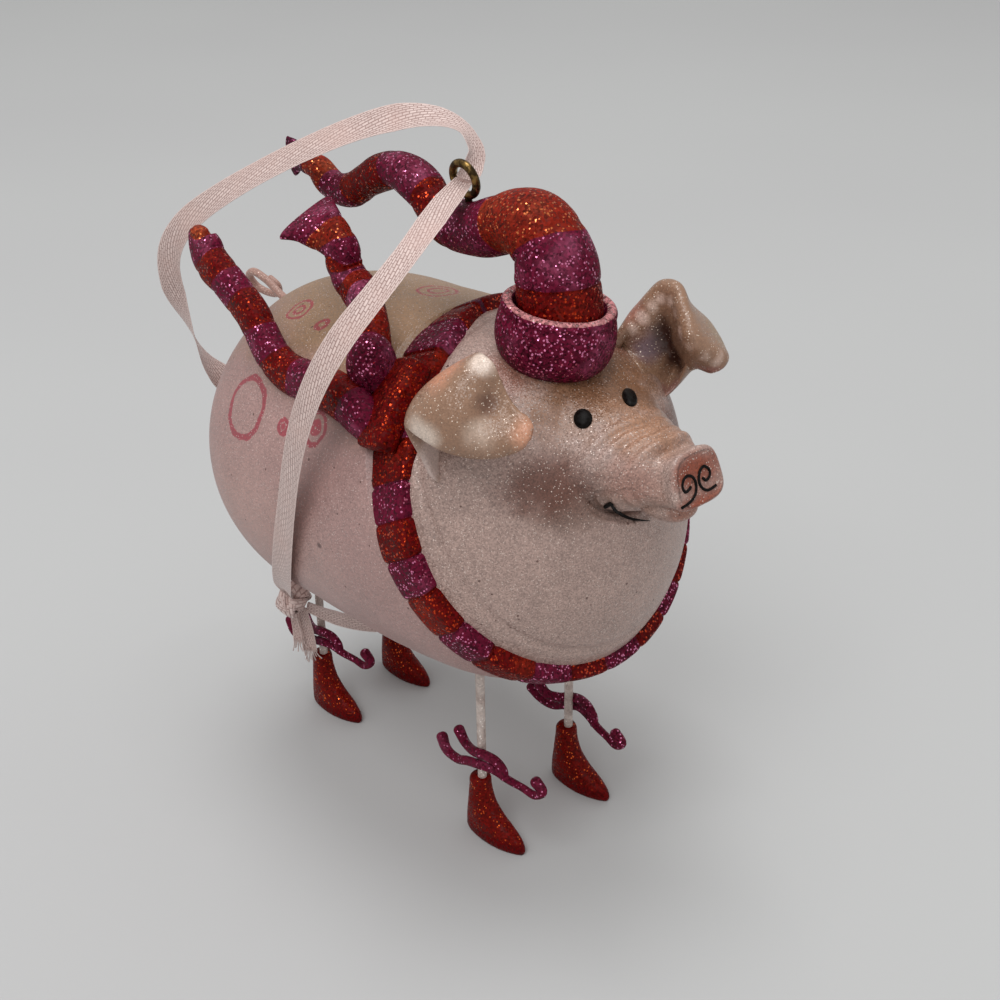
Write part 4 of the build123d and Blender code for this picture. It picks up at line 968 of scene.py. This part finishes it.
# Ears: sheets through ribs of four points, each rib running across the leaf and each ear bent its own way
ears = {
    "half": 1.15, "sink": (30, 0, 95), "sinkShare": 0.16,
    "right": [
        (33, -15, 112.5, 30, -21.5, 108.5, 29, -26, 102.5, 32.2, -27.9, 95.2),
        (34.6, -21, 115.9, 31.8, -25.4, 112.5, 30.7, -29.3, 109, 31.6, -31.6, 101.4),
        (38.1, -23.1, 120.6, 34.9, -26.2, 117.3, 32.5, -31, 113.6, 32, -34.8, 108.2),
        (41.2, -24.5, 121.6, 39.8, -28.1, 119, 38.2, -32.7, 114.8, 35.7, -35.3, 108.4),
        (43.5, -24.8, 121, 42.3, -28, 117.3, 42.2, -31.7, 113, 39.6, -34.1, 107),
        (44.8, -24.6, 118.5, 43.9, -26.6, 114.6, 44.6, -29.7, 110.9, 43.4, -31.7, 106.1),
        (46.5, -24.4, 115.9, 46.3, -25.9, 112.6, 47.2, -28.1, 110, 46.8, -29.6, 106.3),
        (48.8, -24.3, 114.1, 49.1, -25, 111.8, 49.7, -26.5, 109.8, 49.4, -27.2, 107.2),
        (50.7, -24, 113.2, 51, -24.3, 111.8, 51.4, -25.2, 110.3, 51.2, -25.7, 108.6),
        (51.9, -23.7, 111.9, 52, -23.9, 111.3, 52.1, -24.2, 110.6, 52.1, -24.7, 110),
    ],
    "left": [
        (34, 15, 109.5, 34, 15.7, 110.7, 35, 15.3, 112.2, 33.9, 15.3, 112.8),
        (37.4, 14.2, 108.6, 36.5, 16.4, 110.1, 36.7, 17.2, 114, 34.2, 18, 115.6),
        (40.5, 13.4, 107.8, 38.4, 17.6, 109.8, 38.3, 18.6, 117.2, 35.5, 20.5, 117.5),
        (42.1, 13.9, 105.9, 39.4, 19.6, 108.8, 39.9, 20, 119.1, 36.6, 23, 118.9),
        (43.3, 14.7, 104.1, 40.2, 21.6, 107.9, 43.2, 20.1, 119.4, 38.6, 25.2, 118.9),
        (43.8, 15.8, 102.6, 41.3, 23, 107.1, 46.7, 18.3, 117, 41.5, 26.4, 116.4),
        (44.1, 16.9, 101.5, 43.1, 23, 107.3, 49.2, 17.1, 115.2, 44.9, 27.5, 114.2),
        (45, 19.5, 103.7, 45.8, 21.6, 108, 51.1, 17.7, 113.3, 48, 27.2, 112),
        (47.2, 20.5, 109, 49.6, 20.8, 108.9, 52.6, 20, 111.5, 50.6, 26, 110.4),
        (51.1, 20.6, 108.6, 52.3, 21.4, 108.8, 53, 22.1, 110, 52.3, 24.6, 110),
        (52.4, 21.5, 108.6, 53, 22.2, 108.7, 53.3, 22.9, 109.2, 53.1, 23.7, 109.5),
    ],
    "flap": colour(144, 110, 88), "flake": colour(226, 206, 190),
    "rightZones": [
        ((196, 140, 112), (51.5, -24.5, 111), (4.5, 4, 4), 0.9),
        # the first zone on the next line is painted shade in the flap's dimple; the second is orange blush paint
        ((92, 60, 46), (43.9, -27, 114.8), (3.2, 4, 3), 0.85), ((196, 134, 104), (35, -27, 118), (6, 9, 6), 0.95),
        # painted highlight on the flap's curled lower edge
        ((214, 196, 182), (37, -34.9, 109.5), (4.5, 3, 4), 0.85),
        ((196, 174, 166), (31.5, -29.8, 99.5), (6, 6, 8), 1.0),
        # painted highlight on the ridge along the top of the flap
        ((226, 206, 192), (41.5, -25.5, 120.5), (3.4, 3.4, 3.4), 0.9),
        ((206, 184, 168), (44, -30, 110.5), (6, 4, 4), 0.6),
    ],
    "leftZones": [
        ((168, 112, 96), (35.4, 19, 116.2), (4, 6, 5), 0.85), ((112, 88, 94), (38.4, 18.4, 109.9), (4.6, 5, 5), 1.0),
        # painted shade in the hollow of the fold: this zone and the first zone on the next line
        ((44, 14, 10), (40.8, 21.2, 113), (3.4, 5, 6.6), 1.0),
        ((52, 24, 18), (42.6, 22.4, 108), (4.8, 4.6, 4.4), 1.0), ((146, 118, 88), (48.2, 25, 113), (6, 4.6, 5), 0.8),
        ((142, 92, 82), (51.6, 21, 108.8), (4, 3.4, 1.6), 0.85), ((128, 90, 84), (43.9, 18.2, 103.5), (3, 4, 3), 0.8),
    ],
    # painted highlight: the pale line along the crest of the left ear's fold, as middles of small patches
    "leftFoldHighlight": [
        (36.2, 16.6, 113.2), (37.5, 17.6, 115.5), (38.7, 18.9, 117.8), (40.3, 20, 119.4), (42.8, 20.3, 119.6),
        (45.4, 19.2, 118), (47.9, 17.6, 115.8), (50.1, 17.5, 114), (51.6, 18.6, 112.6), (52.6, 20.8, 111.3),
    ],
    "foldHighlightTone": (240, 210, 196), "foldHighlightReach": (2, 2, 2),
}
ears["leftZones"] += [(ears["foldHighlightTone"], place, ears["foldHighlightReach"], 0.8) for place in ears["leftFoldHighlight"]]


def makeEars():
    # one more rib, moved from the root towards the head's inside, sinks each ear into the dome
    for side in ("left", "right"):
        zones = ears[f"{side}Zones"]
        skin = makeSkin(f"{side}EarSkin", ears["flap"], ears["flake"], 0.03, zones, roughness=0.3, depth=0.14)
        ribs = np.array(ears[side], float)
        root = ribs[0].reshape(4, 3)
        ribs = np.concatenate([(root + (np.array(ears["sink"]) - root) * ears["sinkShare"]).reshape(1, 12), ribs])
        makePiece(f"glitter_ear_{side}", [sheetShell(ribs, ears["half"])], skin, [f"ear_{side}"])


makeEars()
print("ears are made")

# Colours of the glitter paints: the paint, then its flakes, whose lighter colour is partly the flakes' own and partly
# a painted glint
tones = {
    "red": (colour(90, 3, 3), colour(206, 70, 34)), "orange": (colour(116, 26, 13), colour(232, 130, 78)),
    "magenta": (colour(92, 14, 40), colour(232, 136, 178)), "purple": (colour(70, 14, 38), colour(190, 110, 150)),
    # the cuff rim's pale entry below is a painted highlight, not a paint
    "pearl": (colour(172, 112, 114), colour(230, 196, 194)),
}


def makeStriped(name, starts, paints, share=0.2, depth=0.55, wobble=0.006):
    # glitter paint in bands along the piece's own map, with edges that wander as a brush does
    material, tree, shader = startMaterial(name)
    place = objectPlace(tree)
    wander = drift(tree, noise(tree, place, 420.0, 2.0), wobble)
    moved = maths(tree, "ADD", splitAxes(tree, surfacePlace(tree))["X"], wander)
    paint, flake = [
        stripes(tree, moved, [(start, tones[tone][layer]) for start, tone in zip(starts, paints.split())])
        for layer in (0, 1)
    ]
    worn = mixColour(tree, fade(tree, noise(tree, place, 130.0, 3.0), 0.5, 0.8, 0.0, 0.16), paint, flake)
    finishGlitter(tree, shader, coatOf(tree, worn, flake, 2300.0, share, depth, 0.75), 0.5, 0.24, 0.9)
    return material


def grooved(way, starts, half):
    # narrow dips where one stripe meets the next
    return sum(np.exp(-(((way - start) / half) ** 2)) for start in starts[1:])


# Hat: rolled cuff and the serpentine peak
hat = {
    "rim": (33.5, 0, 122.4), "cuffScale": 0.965, "leanAhead": 6.0, "leanSide": 4.0,
    "cuffRows": 110, "cuffColumns": 140,
    # the cuff's section: distance from the axis, then drop from the rim
    "cuff": [
        (0.4, 4.4), (7.2, 4.4), (7.9, 3.4), (8.4, 1.6), (9.0, 0.4), (9.8, 0.0), (10.5, 0.4), (10.9, 1.4),
        (10.75, 2.1), (11.0, 2.9), (11.35, 4.8), (11.4, 6.8), (11.1, 8.7), (10.4, 10.4), (9.2, 11.8), (7.0, 12.8),
        (0.4, 13.0),
    ],
    # the cuff's middle band is a painted highlight: a thin pale line along the crest of the rim
    "cuffStarts": [0, 9.4, 10.2], "cuffPaints": "magenta pearl magenta",
    # place ahead and up, then diameter
    "peak": [
        (33.7, 113, 15.6), (33.6, 117.5, 15.8), (33.5, 121.6, 15.8), (32.9, 125.2, 15.4), (32.4, 128.9, 15),
        (30.9, 131.8, 14.4), (27.8, 134.2, 13.6), (23, 134.5, 12), (17.6, 132.5, 11), (12.6, 130.6, 10.4),
        (6.8, 129.7, 9.9), (2.5, 130.2, 9.2), (-0.9, 132, 8.4), (-3.8, 134.3, 8.2), (-7.6, 135.9, 8),
        (-11.9, 136.4, 7.6), (-16.8, 134.9, 7.3), (-21.9, 132.2, 7), (-27.5, 128.9, 6.8), (-32.3, 128.2, 6.5),
        (-35.7, 129.1, 6), (-38.3, 130.9, 5.2), (-42.5, 131.2, 4.6),
    ],
    # how far the stripes lean, at steps along the peak
    "tilts": ([0, 13, 17, 21, 26, 40], [0.5, 0.5, -1.0, -1.0, 0.6, 0.8]),
    # the flared tip: place, half thickness, half height
    "tip": [(-42.0, 131.2, 1.9, 2.2), (-44.2, 131.8, 1.5, 2.7), (-46.6, 131.9, 1.1, 3.6), (-48.4, 131.5, 0.8, 4.2)],
    # where each stripe starts along the peak, measured from the middle of the table's first row
    "starts": [0, 12.6, 20.2, 32.6, 46.5, 55.5, 66.5, 81, 89.5, 97],
    "paints": "red magenta orange magenta red magenta red magenta orange purple",
}


def makeHat():
    # the cuff's section turned about the leaning axis, a little uneven; the peak is a tube with dips at its stripes
    axis = unit(np.array([math.tan(math.radians(hat["leanAhead"])), math.tan(math.radians(hat["leanSide"])), 1.0]))
    first = unit(np.cross(left, axis))
    second = np.cross(axis, first)
    profile, _ = followTable([(radius, drop, 0) for radius, drop in hat["cuff"]], hat["cuffRows"])
    angle = fullTurn(hat["cuffColumns"])
    uneven = 1 + 0.012 * np.sin(2 * angle + 0.6) + 0.008 * np.sin(5 * angle + 1.9)
    radial = np.cos(angle)[:, None] * first + np.sin(angle)[:, None] * second
    cuff = (
        np.array(hat["rim"], float) + (profile[:, 0:1] * uneven * hat["cuffScale"])[..., None] * radial[None]
        - profile[:, 1][:, None, None] * axis
    )
    shell = {"grid": cuff, "map": surfaceMap(profile[:, 1:2] / 100 + 0.1, hat["cuffColumns"])}
    paint = makeStriped("cuffGlitter", hat["cuffStarts"], hat["cuffPaints"], 0.26, 0.6)
    makePiece("glitter_hat_cuff", [shell], paint, ["hat_cuff"])
    table, way = followTable([(x, 0, z, wide / 2) for x, z, wide in hat["peak"]], 330)
    radius = table[:, 3] * (1 - 0.03 * grooved(way, hat["starts"], 0.7)) + 0.12 * np.sin(way * 0.55)
    tilt = np.interp(way, *hat["tilts"])
    peak = sweepBand(table[:, :3], left, radius, radius, 64, domes=(0.3, 0.8), skew=(0.6, tilt))
    fan, _ = followTable([(x, 0, z, thick, tall) for x, z, thick, tall in hat["tip"]], 30)
    tip = sweepBand(fan[:, :3], left, fan[:, 3], fan[:, 4], 48, domes=(0.2, 0.3))
    tip["map"][..., 0] += way[-1] / 100
    paint = makeStriped("peakGlitter", hat["starts"], hat["paints"])
    makePiece("glitter_hat_peak", [peak, tip], paint, ["hat_peak"])


makeHat()
print("hat is made")

# Scarf: the band of painted blocks round the neck, the knot and the two tails
scarf = {
    "outerUp": 38.5, "outerSide": 36.4, "thick": 4.9, "back": 4.6, "front": 3.2,
    "rows": 1500, "columns": 40, "corner": 0.42,
    # degrees round the band, then how far its front edge reaches over the head, and how far it is drawn in
    "reach": ([0, 15, 60, 255, 285, 305, 335, 350, 360], [1.8, 0.6, 0, 0, 1.8, 5.0, 5.0, 3.4, 1.8]),
    "drawn": ([0, 270, 295, 315, 340, 360], [0, 0, 1.4, 1.6, 0.6, 0]),
    # where each block starts, in degrees round the band from its top towards the left side
    "blocks": [
        0, 12, 25, 38, 51, 64, 77, 90, 103, 116, 128, 141, 154, 168, 183, 198, 212, 228.5, 241.5, 255.5, 267, 278,
        288.5, 301, 314, 332, 346, 357,
    ],
    "blockPaints": "red magenta " * 13 + "red purple",
    # the knot: a ball of each paint and the red wrap, as place, half width and half thickness
    "balls": {"red": ((8.6, -22.6, 103.6), (4.6, 3.8, 4.2)), "magenta": ((8.9, -24.4, 109.4), (5.0, 4.6, 6.4))},
    "wrap": [
        (15.8, -20.4, 110, 4.9, 2.6), (16.3, -23.4, 107.4, 5.4, 3), (16.7, -27, 103.4, 5.5, 3),
        (17.3, -29.6, 100.4, 5.3, 2.8), (17.8, -31, 98.2, 4.9, 2.3),
    ],
    # each tail: place, half width, half thickness
    "lowerTail": [
        (14.8, -29, 99.8, 3.8, 2.8), (12.6, -29.6, 101.6, 4.3, 3), (9.2, -29.6, 103, 4.6, 3.1),
        (4, -29.2, 103.4, 4.5, 3.1), (-2.5, -28.4, 102.6, 4.3, 3.1), (-9, -27.6, 101.4, 4.2, 3.1),
        (-15.7, -27.5, 101.5, 4.1, 3), (-20, -27.5, 103.7, 4, 3), (-23.5, -27, 106.4, 3.9, 3),
        (-27, -26.5, 109.3, 3.9, 3), (-32, -26, 111.5, 3.9, 3), (-37, -26, 114.2, 3.9, 3),
        (-42.3, -25.5, 116, 4.5, 2.9), (-45.2, -25, 118.4, 4.7, 2.6), (-46.4, -25, 120.2, 3.9, 2),
        (-46.3, -25, 121.9, 2, 1.3),
    ],
    "lowerStarts": [0, 7.2, 16, 27, 35.5, 42.5, 50.5, 57, 63, 68.5],
    "lowerPaints": "magenta red " * 4 + "magenta orange",
    "upperTail": [
        (8.5, -23, 110, 3.4, 2.8), (3.6, -20, 113.6, 4.3, 3), (-1, -17.5, 115.6, 4.7, 3.1),
        (-5.6, -15.5, 117.2, 4.2, 3.1), (-9.4, -15, 119, 3.9, 3), (-10.9, -15, 121.6, 3.9, 3),
        (-11.2, -15, 123.8, 3.8, 2.9), (-13.6, -15, 125.8, 3.9, 2.8), (-16.6, -15, 126.8, 4.5, 2.5),
        (-19.8, -15, 127.6, 5.6, 1.9), (-22.4, -15, 127.9, 7, 1.3),
    ],
    "upperStarts": [0, 13, 17, 20.5, 23.5, 26.2, 29, 32.5],
    "upperPaints": "red magenta " * 3 + "orange magenta",
    "flareAcross": (0.48, 0.82, 0.32), "flareStart": 24, "flareRun": 12,
}


def makeCollar():
    # rounded strip carried round an ellipse; each block swells a little and dips to a joint at its ends
    turn = np.linspace(0, 360, scarf["rows"], endpoint=False)
    starts = np.array(scarf["blocks"] + [360])
    block = np.searchsorted(starts, turn, side="right") - 1
    swell = 1 - np.abs(2 * (turn - starts[block]) / (starts[block + 1] - starts[block]) - 1) ** 11
    jitter = np.sin(block * 12.9898) * 0.5
    angle, loop = np.radians(turn), fullTurn(scarf["columns"])
    across, out = rounded(np.cos(loop), scarf["corner"]), rounded(np.sin(loop), scarf["corner"])
    halfWide = (scarf["back"] + scarf["front"]) / 2 - 0.42 * (1 - swell) + 0.34 * jitter * swell
    halfThick = scarf["thick"] / 2 - 0.1 - 0.55 * (1 - swell) + 0.1 * np.cos(block * 4.7) * swell
    radial = np.cos(angle)[:, None] * collarUp + np.sin(angle)[:, None] * left
    middle = (
        collarMiddle + ((scarf["front"] - scarf["back"]) / 2) * collarAhead
        + ((scarf["outerUp"] - scarf["thick"] / 2) * np.cos(angle))[:, None] * collarUp
        + ((scarf["outerSide"] - scarf["thick"] / 2) * np.sin(angle))[:, None] * left
    )
    reach, drawn = np.interp(turn, *scarf["reach"]), np.interp(turn, *scarf["drawn"])
    ahead = halfWide[:, None] * across + reach[:, None] * (1 + across) / 2
    outward = halfThick[:, None] * out - drawn[:, None] - 0.34 * reach[:, None] * (1 + across) / 2
    grid = middle[:, None] + ahead[..., None] * collarAhead + outward[..., None] * radial[:, None]
    shell = {"grid": grid, "map": surfaceMap(np.append(turn, 360)[:, None] / 400, scarf["columns"]), "loop": True}
    joints = [start / 4 for start in scarf["blocks"]]
    paint = makeStriped("collarGlitter", joints, scarf["blockPaints"], 0.26, wobble=0.0008)
    makePiece("glitter_scarf_collar", [shell], paint, ["scarf_collar"])


def makeKnot():
    # the knot's forms with a slow swirl over their surface
    for tone, ball in scarf["balls"].items():
        shells = [roundForm(*ball)]
        if tone == "red":
            table, _ = followTable(scarf["wrap"], 60)
            wide, thick = table[:, 3], table[:, 4]
            shells.append(sweepBand(table[:, :3], collarAhead, wide, thick, 56, power=3.6, domes=(0.5, 0.35)))
        for shell in shells:
            swirl = 0.12 * np.sin(shell["grid"][..., 2] * 1.7 + shell["grid"][..., 0] * 0.8)
            shell["grid"] = shell["grid"] + swirl[..., None] * np.array([0.6, -0.7, 0.3])
        paint = makeStriped(f"{tone}KnotGlitter", (0, 90), f"{tone} {tone}", 0.34)
        makePiece(f"glitter_knot_{tone}", shells, paint, ["scarf_knot"])


def makeTails():
    # flat bands with dips at their stripes; the upper one turns its face as it flares
    for name in ("lower", "upper"):
        starts = scarf[f"{name}Starts"]
        table, way = followTable(scarf[f"{name}Tail"], 220)
        dip = 1 - 0.05 * grooved(way, starts, 0.6)
        across = np.cross(unit(np.gradient(table[:, :3], axis=0)), (0.0, -1.0, 0.0))
        if name == "upper":
            turned = np.clip((way - scarf["flareStart"]) / scarf["flareRun"], 0, 1)[:, None] ** 1.5
            across = across * (1 - turned) + np.array(scarf["flareAcross"]) * turned
        wide, thick = table[:, 3] * dip, table[:, 4] * dip
        tail = sweepBand(table[:, :3], across, wide, thick, 56, power=2.5, domes=(0.4, 0.5), skew=(1.2, 0.0))
        paint = makeStriped(f"{name}TailGlitter", starts, scarf[f"{name}Paints"])
        makePiece(f"glitter_scarf_tail_{name}", [tail], paint, [f"scarf_tail_{name}"])


makeCollar()
makeKnot()
makeTails()
print("scarf is made")

# Screw eye: antique brass ring with a shank let into the peak
screwEye = {
    "middle": (8.2, -0.2, 139.1), "lean": 11.5, "ring": 3.15, "wire": 0.8, "shank": 5.6, "turns": 7,
    "ringRows": 90, "columns": 24, "shankRows": 160, "threadStart": 0.35,
    "dark": colour(58, 44, 24), "brass": colour(138, 110, 62),
}


def makeBrass():
    # aged brass: bright where the noise is high, with fine scratches
    material, tree, shader = startMaterial("agedBrass")
    place = objectPlace(tree)
    cloud, scratch = noise(tree, place, 700.0, 5.0), noise(tree, place, 2600.0, 2.0)
    feed(tree, shader, {
        "Base Color": mixColour(tree, fade(tree, cloud, 0.4, 0.65), screwEye["dark"], screwEye["brass"]),
        "Metallic": 0.9, "Roughness": fade(tree, cloud, 0.3, 0.7, 0.5, 0.28),
        "Normal": bumps(tree, scratch, 0.35, 0.00006),
    })
    return material


def makeScrewEye():
    # a torus that leans to the right, and a shank whose radius waves as a thread
    lean = math.radians(screwEye["lean"])
    ahead, up = np.array([1.0, 0, 0]), np.array([0, -math.sin(lean), math.cos(lean)])
    middle, wire, columns = np.array(screwEye["middle"], float), screwEye["wire"], screwEye["columns"]
    turn = fullTurn(screwEye["ringRows"])[:, None]
    line = middle + screwEye["ring"] * (np.cos(turn) * ahead + np.sin(turn) * up)
    out = unit(line - middle)
    loop = fullTurn(columns)[None, :, None]
    ring = line[:, None] + wire * (np.cos(loop) * out[:, None] + np.sin(loop) * np.cross(ahead, up))
    rows = screwEye["ringRows"]
    shell = {"grid": ring, "map": surfaceMap(np.arange(rows + 1)[:, None] / rows, columns), "loop": True}
    steps = np.linspace(0, 1, screwEye["shankRows"])
    down = middle - up * (screwEye["ring"] + 0.1 + steps[:, None] * screwEye["shank"])
    wave = 0.12 * np.cos(steps * screwEye["turns"] * 2 * math.pi) * (steps > screwEye["threadStart"])
    thread = wire * (0.86 + wave)
    shank = sweepBand(down, ahead, thread, thread, columns, domes=(0.3, 0.9))
    makePiece("brass_screw_eye", [shell, shank], makeBrass(), ["screw_eye"])


makeScrewEye()

# Curled tail
curl = {
    "radius": 0.9, "taper": ([0, 0.7, 1], [1, 1, 0.75]),
    "skin": colour(178, 140, 128), "flake": colour(240, 214, 200),
    "rows": [
        (-44.4, 0, 96.6), (-49, 0, 96.6), (-51.6, 0, 96.7), (-56.8, 0, 97.5), (-62.5, -0.5, 100.2), (-66.6, -1, 101),
        (-69, -0.6, 99.2), (-68.6, 0.7, 96.6), (-65.4, 2, 95.4), (-61.4, 2.1, 96.6), (-60.4, 1.3, 98.9),
        (-62.2, 0.7, 100.2),
    ],
}


def makeCurl():
    # tube along the table, thinner at its end
    skin = makeSkin("tailSkin", curl["skin"], curl["flake"], 0.02)
    table, way = followTable(curl["rows"], 200)
    size = curl["radius"] * np.interp(way / way[-1], *curl["taper"])
    tube = sweepBand(table, left, size, size, 24, domes=(0.3, 1.0))
    makePiece("glitter_curly_tail", [tube], skin, ["curly_tail"])


makeCurl()

# Legs' feet: boots and bows, the same on each leg apart from the side that the bow is on
legs = {
    "front_right": (23.7, -12.75), "front_left": (23.7, 12.75),
    "rear_right": (-36.5, -10.6), "rear_left": (-36.5, 10.6),
}
boot = {
    "turn": 5.0, "sole": 16.4, "half": 2.9, "height": 15.1, "heel": 4.4, "rows": 64, "columns": 72,
    "toePoint": 0.34, "toeHeight": 8, "solePaint": colour(86, 2, 3), "soleFlake": colour(120, 12, 8),
    "upperPaint": colour(98, 9, 4), "upperFlake": colour(222, 96, 40),
    # height, back end, front end and half width as shares
    "levels": [
        (0.0, 0.03, 0.975, 0.86), (0.02, 0.01, 0.99, 0.95), (0.07, 0.0, 1.0, 1.0), (0.13, 0.0, 0.985, 0.99),
        (0.2, 0.003, 0.93, 0.97), (0.28, 0.01, 0.82, 0.95), (0.36, 0.02, 0.69, 0.92), (0.45, 0.035, 0.58, 0.89),
        (0.56, 0.05, 0.48, 0.85), (0.7, 0.068, 0.42, 0.81), (0.85, 0.085, 0.385, 0.77), (0.97, 0.098, 0.37, 0.75),
        (1.0, 0.115, 0.355, 0.68),
    ],
}
bow = {
    "radius": 1.02, "offset": 1.85, "length": 29.0, "height": 5.0, "level": 16.5, "flare": 3.0,
    # two strands: ahead, up and inward as shares, then the thickness
    "long": [
        (-0.43, 0.42, 0.43, 1.25), (-0.37, 0.08, 0.27, 1.1), (-0.23, 0.0, 0.2, 1.0), (-0.10, 0.36, 0.1, 1.0),
        (0.05, 0.70, 0.0, 1.0), (0.17, 0.76, 0.27, 0.95), (0.30, 0.58, 0.53, 0.85), (0.42, 0.54, 0.73, 0.8),
        (0.54, 0.5, 0.9, 0.9), (0.60, 0.88, 1.0, 1.05), (0.535, 1.15, 1.0, 1.2),
    ],
    "short": [
        (-0.29, 1.10, 0.93, 1.2), (-0.22, 0.82, 0.8, 1.05), (-0.12, 0.86, 0.5, 1.0), (-0.02, 1.08, 0.2, 1.05),
        (0.09, 1.26, 0.2, 1.05), (0.19, 1.22, 0.36, 1.0), (0.25, 0.95, 0.45, 0.95), (0.26, 0.62, 0.47, 0.95),
    ],
}


def makeBootPaint():
    # orange-red glitter above, a smooth crimson band along the sole; the map's first value is the height
    material, tree, shader = startMaterial("bootGlitter")
    wander = drift(tree, noise(tree, objectPlace(tree), 350.0, 3.0), 0.012)
    upper = fade(tree, maths(tree, "ADD", splitAxes(tree, surfacePlace(tree))["X"], wander), 0.022, 0.034)
    paint = mixColour(tree, upper, boot["solePaint"], boot["upperPaint"])
    flake = mixColour(tree, upper, boot["soleFlake"], boot["upperFlake"])
    finishGlitter(tree, shader, coatOf(tree, paint, flake, 2600.0, 0.11, 0.45, 0.5), 0.38, 0.2, 0.8)
    return material


def makeFeet():
    # boots: level rings between the back and the front end; bows: tubes through their tables
    bootPaint = makeBootPaint()
    bowPaint = makeStriped("bowGlitter", (0, 90), "magenta magenta", 0.12, 0.45)
    turn = math.radians(boot["turn"])
    way, beside = np.array([math.cos(turn), math.sin(turn), 0]), np.array([-math.sin(turn), math.cos(turn), 0])
    angle = fullTurn(boot["columns"])
    levels = np.array(boot["levels"]) * (boot["height"], boot["sole"], boot["sole"], 1)
    height, back, front, wide = followTable(levels, boot["rows"])[0].T
    low = 1 - np.clip(height / boot["toeHeight"], 0, 1)
    pointed = 1 - boot["toePoint"] * np.clip(np.cos(angle), 0, 1) ** 2 * low[:, None]
    lengthwise = ((back + front) / 2 - boot["heel"])[:, None] + ((front - back) / 2)[:, None] * np.cos(angle)
    sideways = (wide * boot["half"])[:, None] * rounded(np.sin(angle), 0.9) * pointed
    form = lengthwise[..., None] * way + sideways[..., None] * beside + height[:, None, None] * np.array([0, 0, 1.0])
    map2 = surfaceMap(height[:, None] / 100, boot["columns"])
    for name, (x, y) in legs.items():
        outward = 1 if y > 0 else -1
        shell = {"grid": form + (x, y, 0), "map": map2}
        makePiece(f"glitter_boot_{name}", [shell], bootPaint, [f"boot_{name}"])
        shells = []
        for key in ("long", "short"):
            table, _ = followTable([(
                x + ahead * bow["length"], y + outward * (bow["offset"] - inward * bow["flare"]),
                bow["level"] + up * bow["height"], size,
            ) for ahead, up, inward, size in bow[key]], 110)
            size = table[:, 3] * bow["radius"]
            shells.append(sweepBand(table[:, :3], left, size, size, 24, domes=(0.9, 0.9)))
        makePiece(f"glitter_bow_{name}", shells, bowPaint, [f"bow_{name}"])


makeFeet()
print("boots and bows are made")

# The nodes that stay as the CAD has them: the painted wires of the legs and the hidden steel pegs
plain = {
    "wire": (colour(198, 184, 176), colour(168, 150, 142)), "wireFlake": colour(240, 230, 224),
    "steel": (colour(150, 150, 152), colour(196, 196, 198)),
    "pegs": ("ear_pegs", "hat_peg", "knot_peg", "scarf_tail_pegs"),
}


def paintNode(name, material):
    # the material in each of a node's slots
    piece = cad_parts[name]
    if not piece.data.materials:
        piece.data.materials.append(material)
    for slot in piece.material_slots:
        slot.material = material


def finishNodes():
    # coated wire for the legs and drawn steel for the pegs
    wire, tree, shader = startMaterial("coatedWire")
    cloud = noise(tree, objectPlace(tree), 420.0, 5.0)
    base = mixColour(tree, fade(tree, cloud, 0.35, 0.7), *plain["wire"])
    coat = coatOf(tree, base, plain["wireFlake"], 2600.0, 0.05, 0.15, 0.3)
    feed(tree, shader, {
        "Base Color": coat["Colour"], "Normal": coat["Normal"], "Roughness": fade(tree, cloud, 0.3, 0.7, 0.32, 0.5),
    })
    steel, tree, shader = startMaterial("pegSteel")
    grain = noise(tree, scaled(tree, objectPlace(tree), (4000.0, 4000.0, 300.0)), 1.0, 3.0)
    feed(tree, shader, {
        "Base Color": mixColour(tree, grain, *plain["steel"]), "Metallic": 1.0,
        "Roughness": fade(tree, grain, 0.3, 0.7, 0.28, 0.42),
    })
    for name in legs:
        paintNode(f"leg_wire_{name}", wire)
    for name in plain["pegs"]:
        paintNode(name, steel)


finishNodes()
print("pieces are finished")
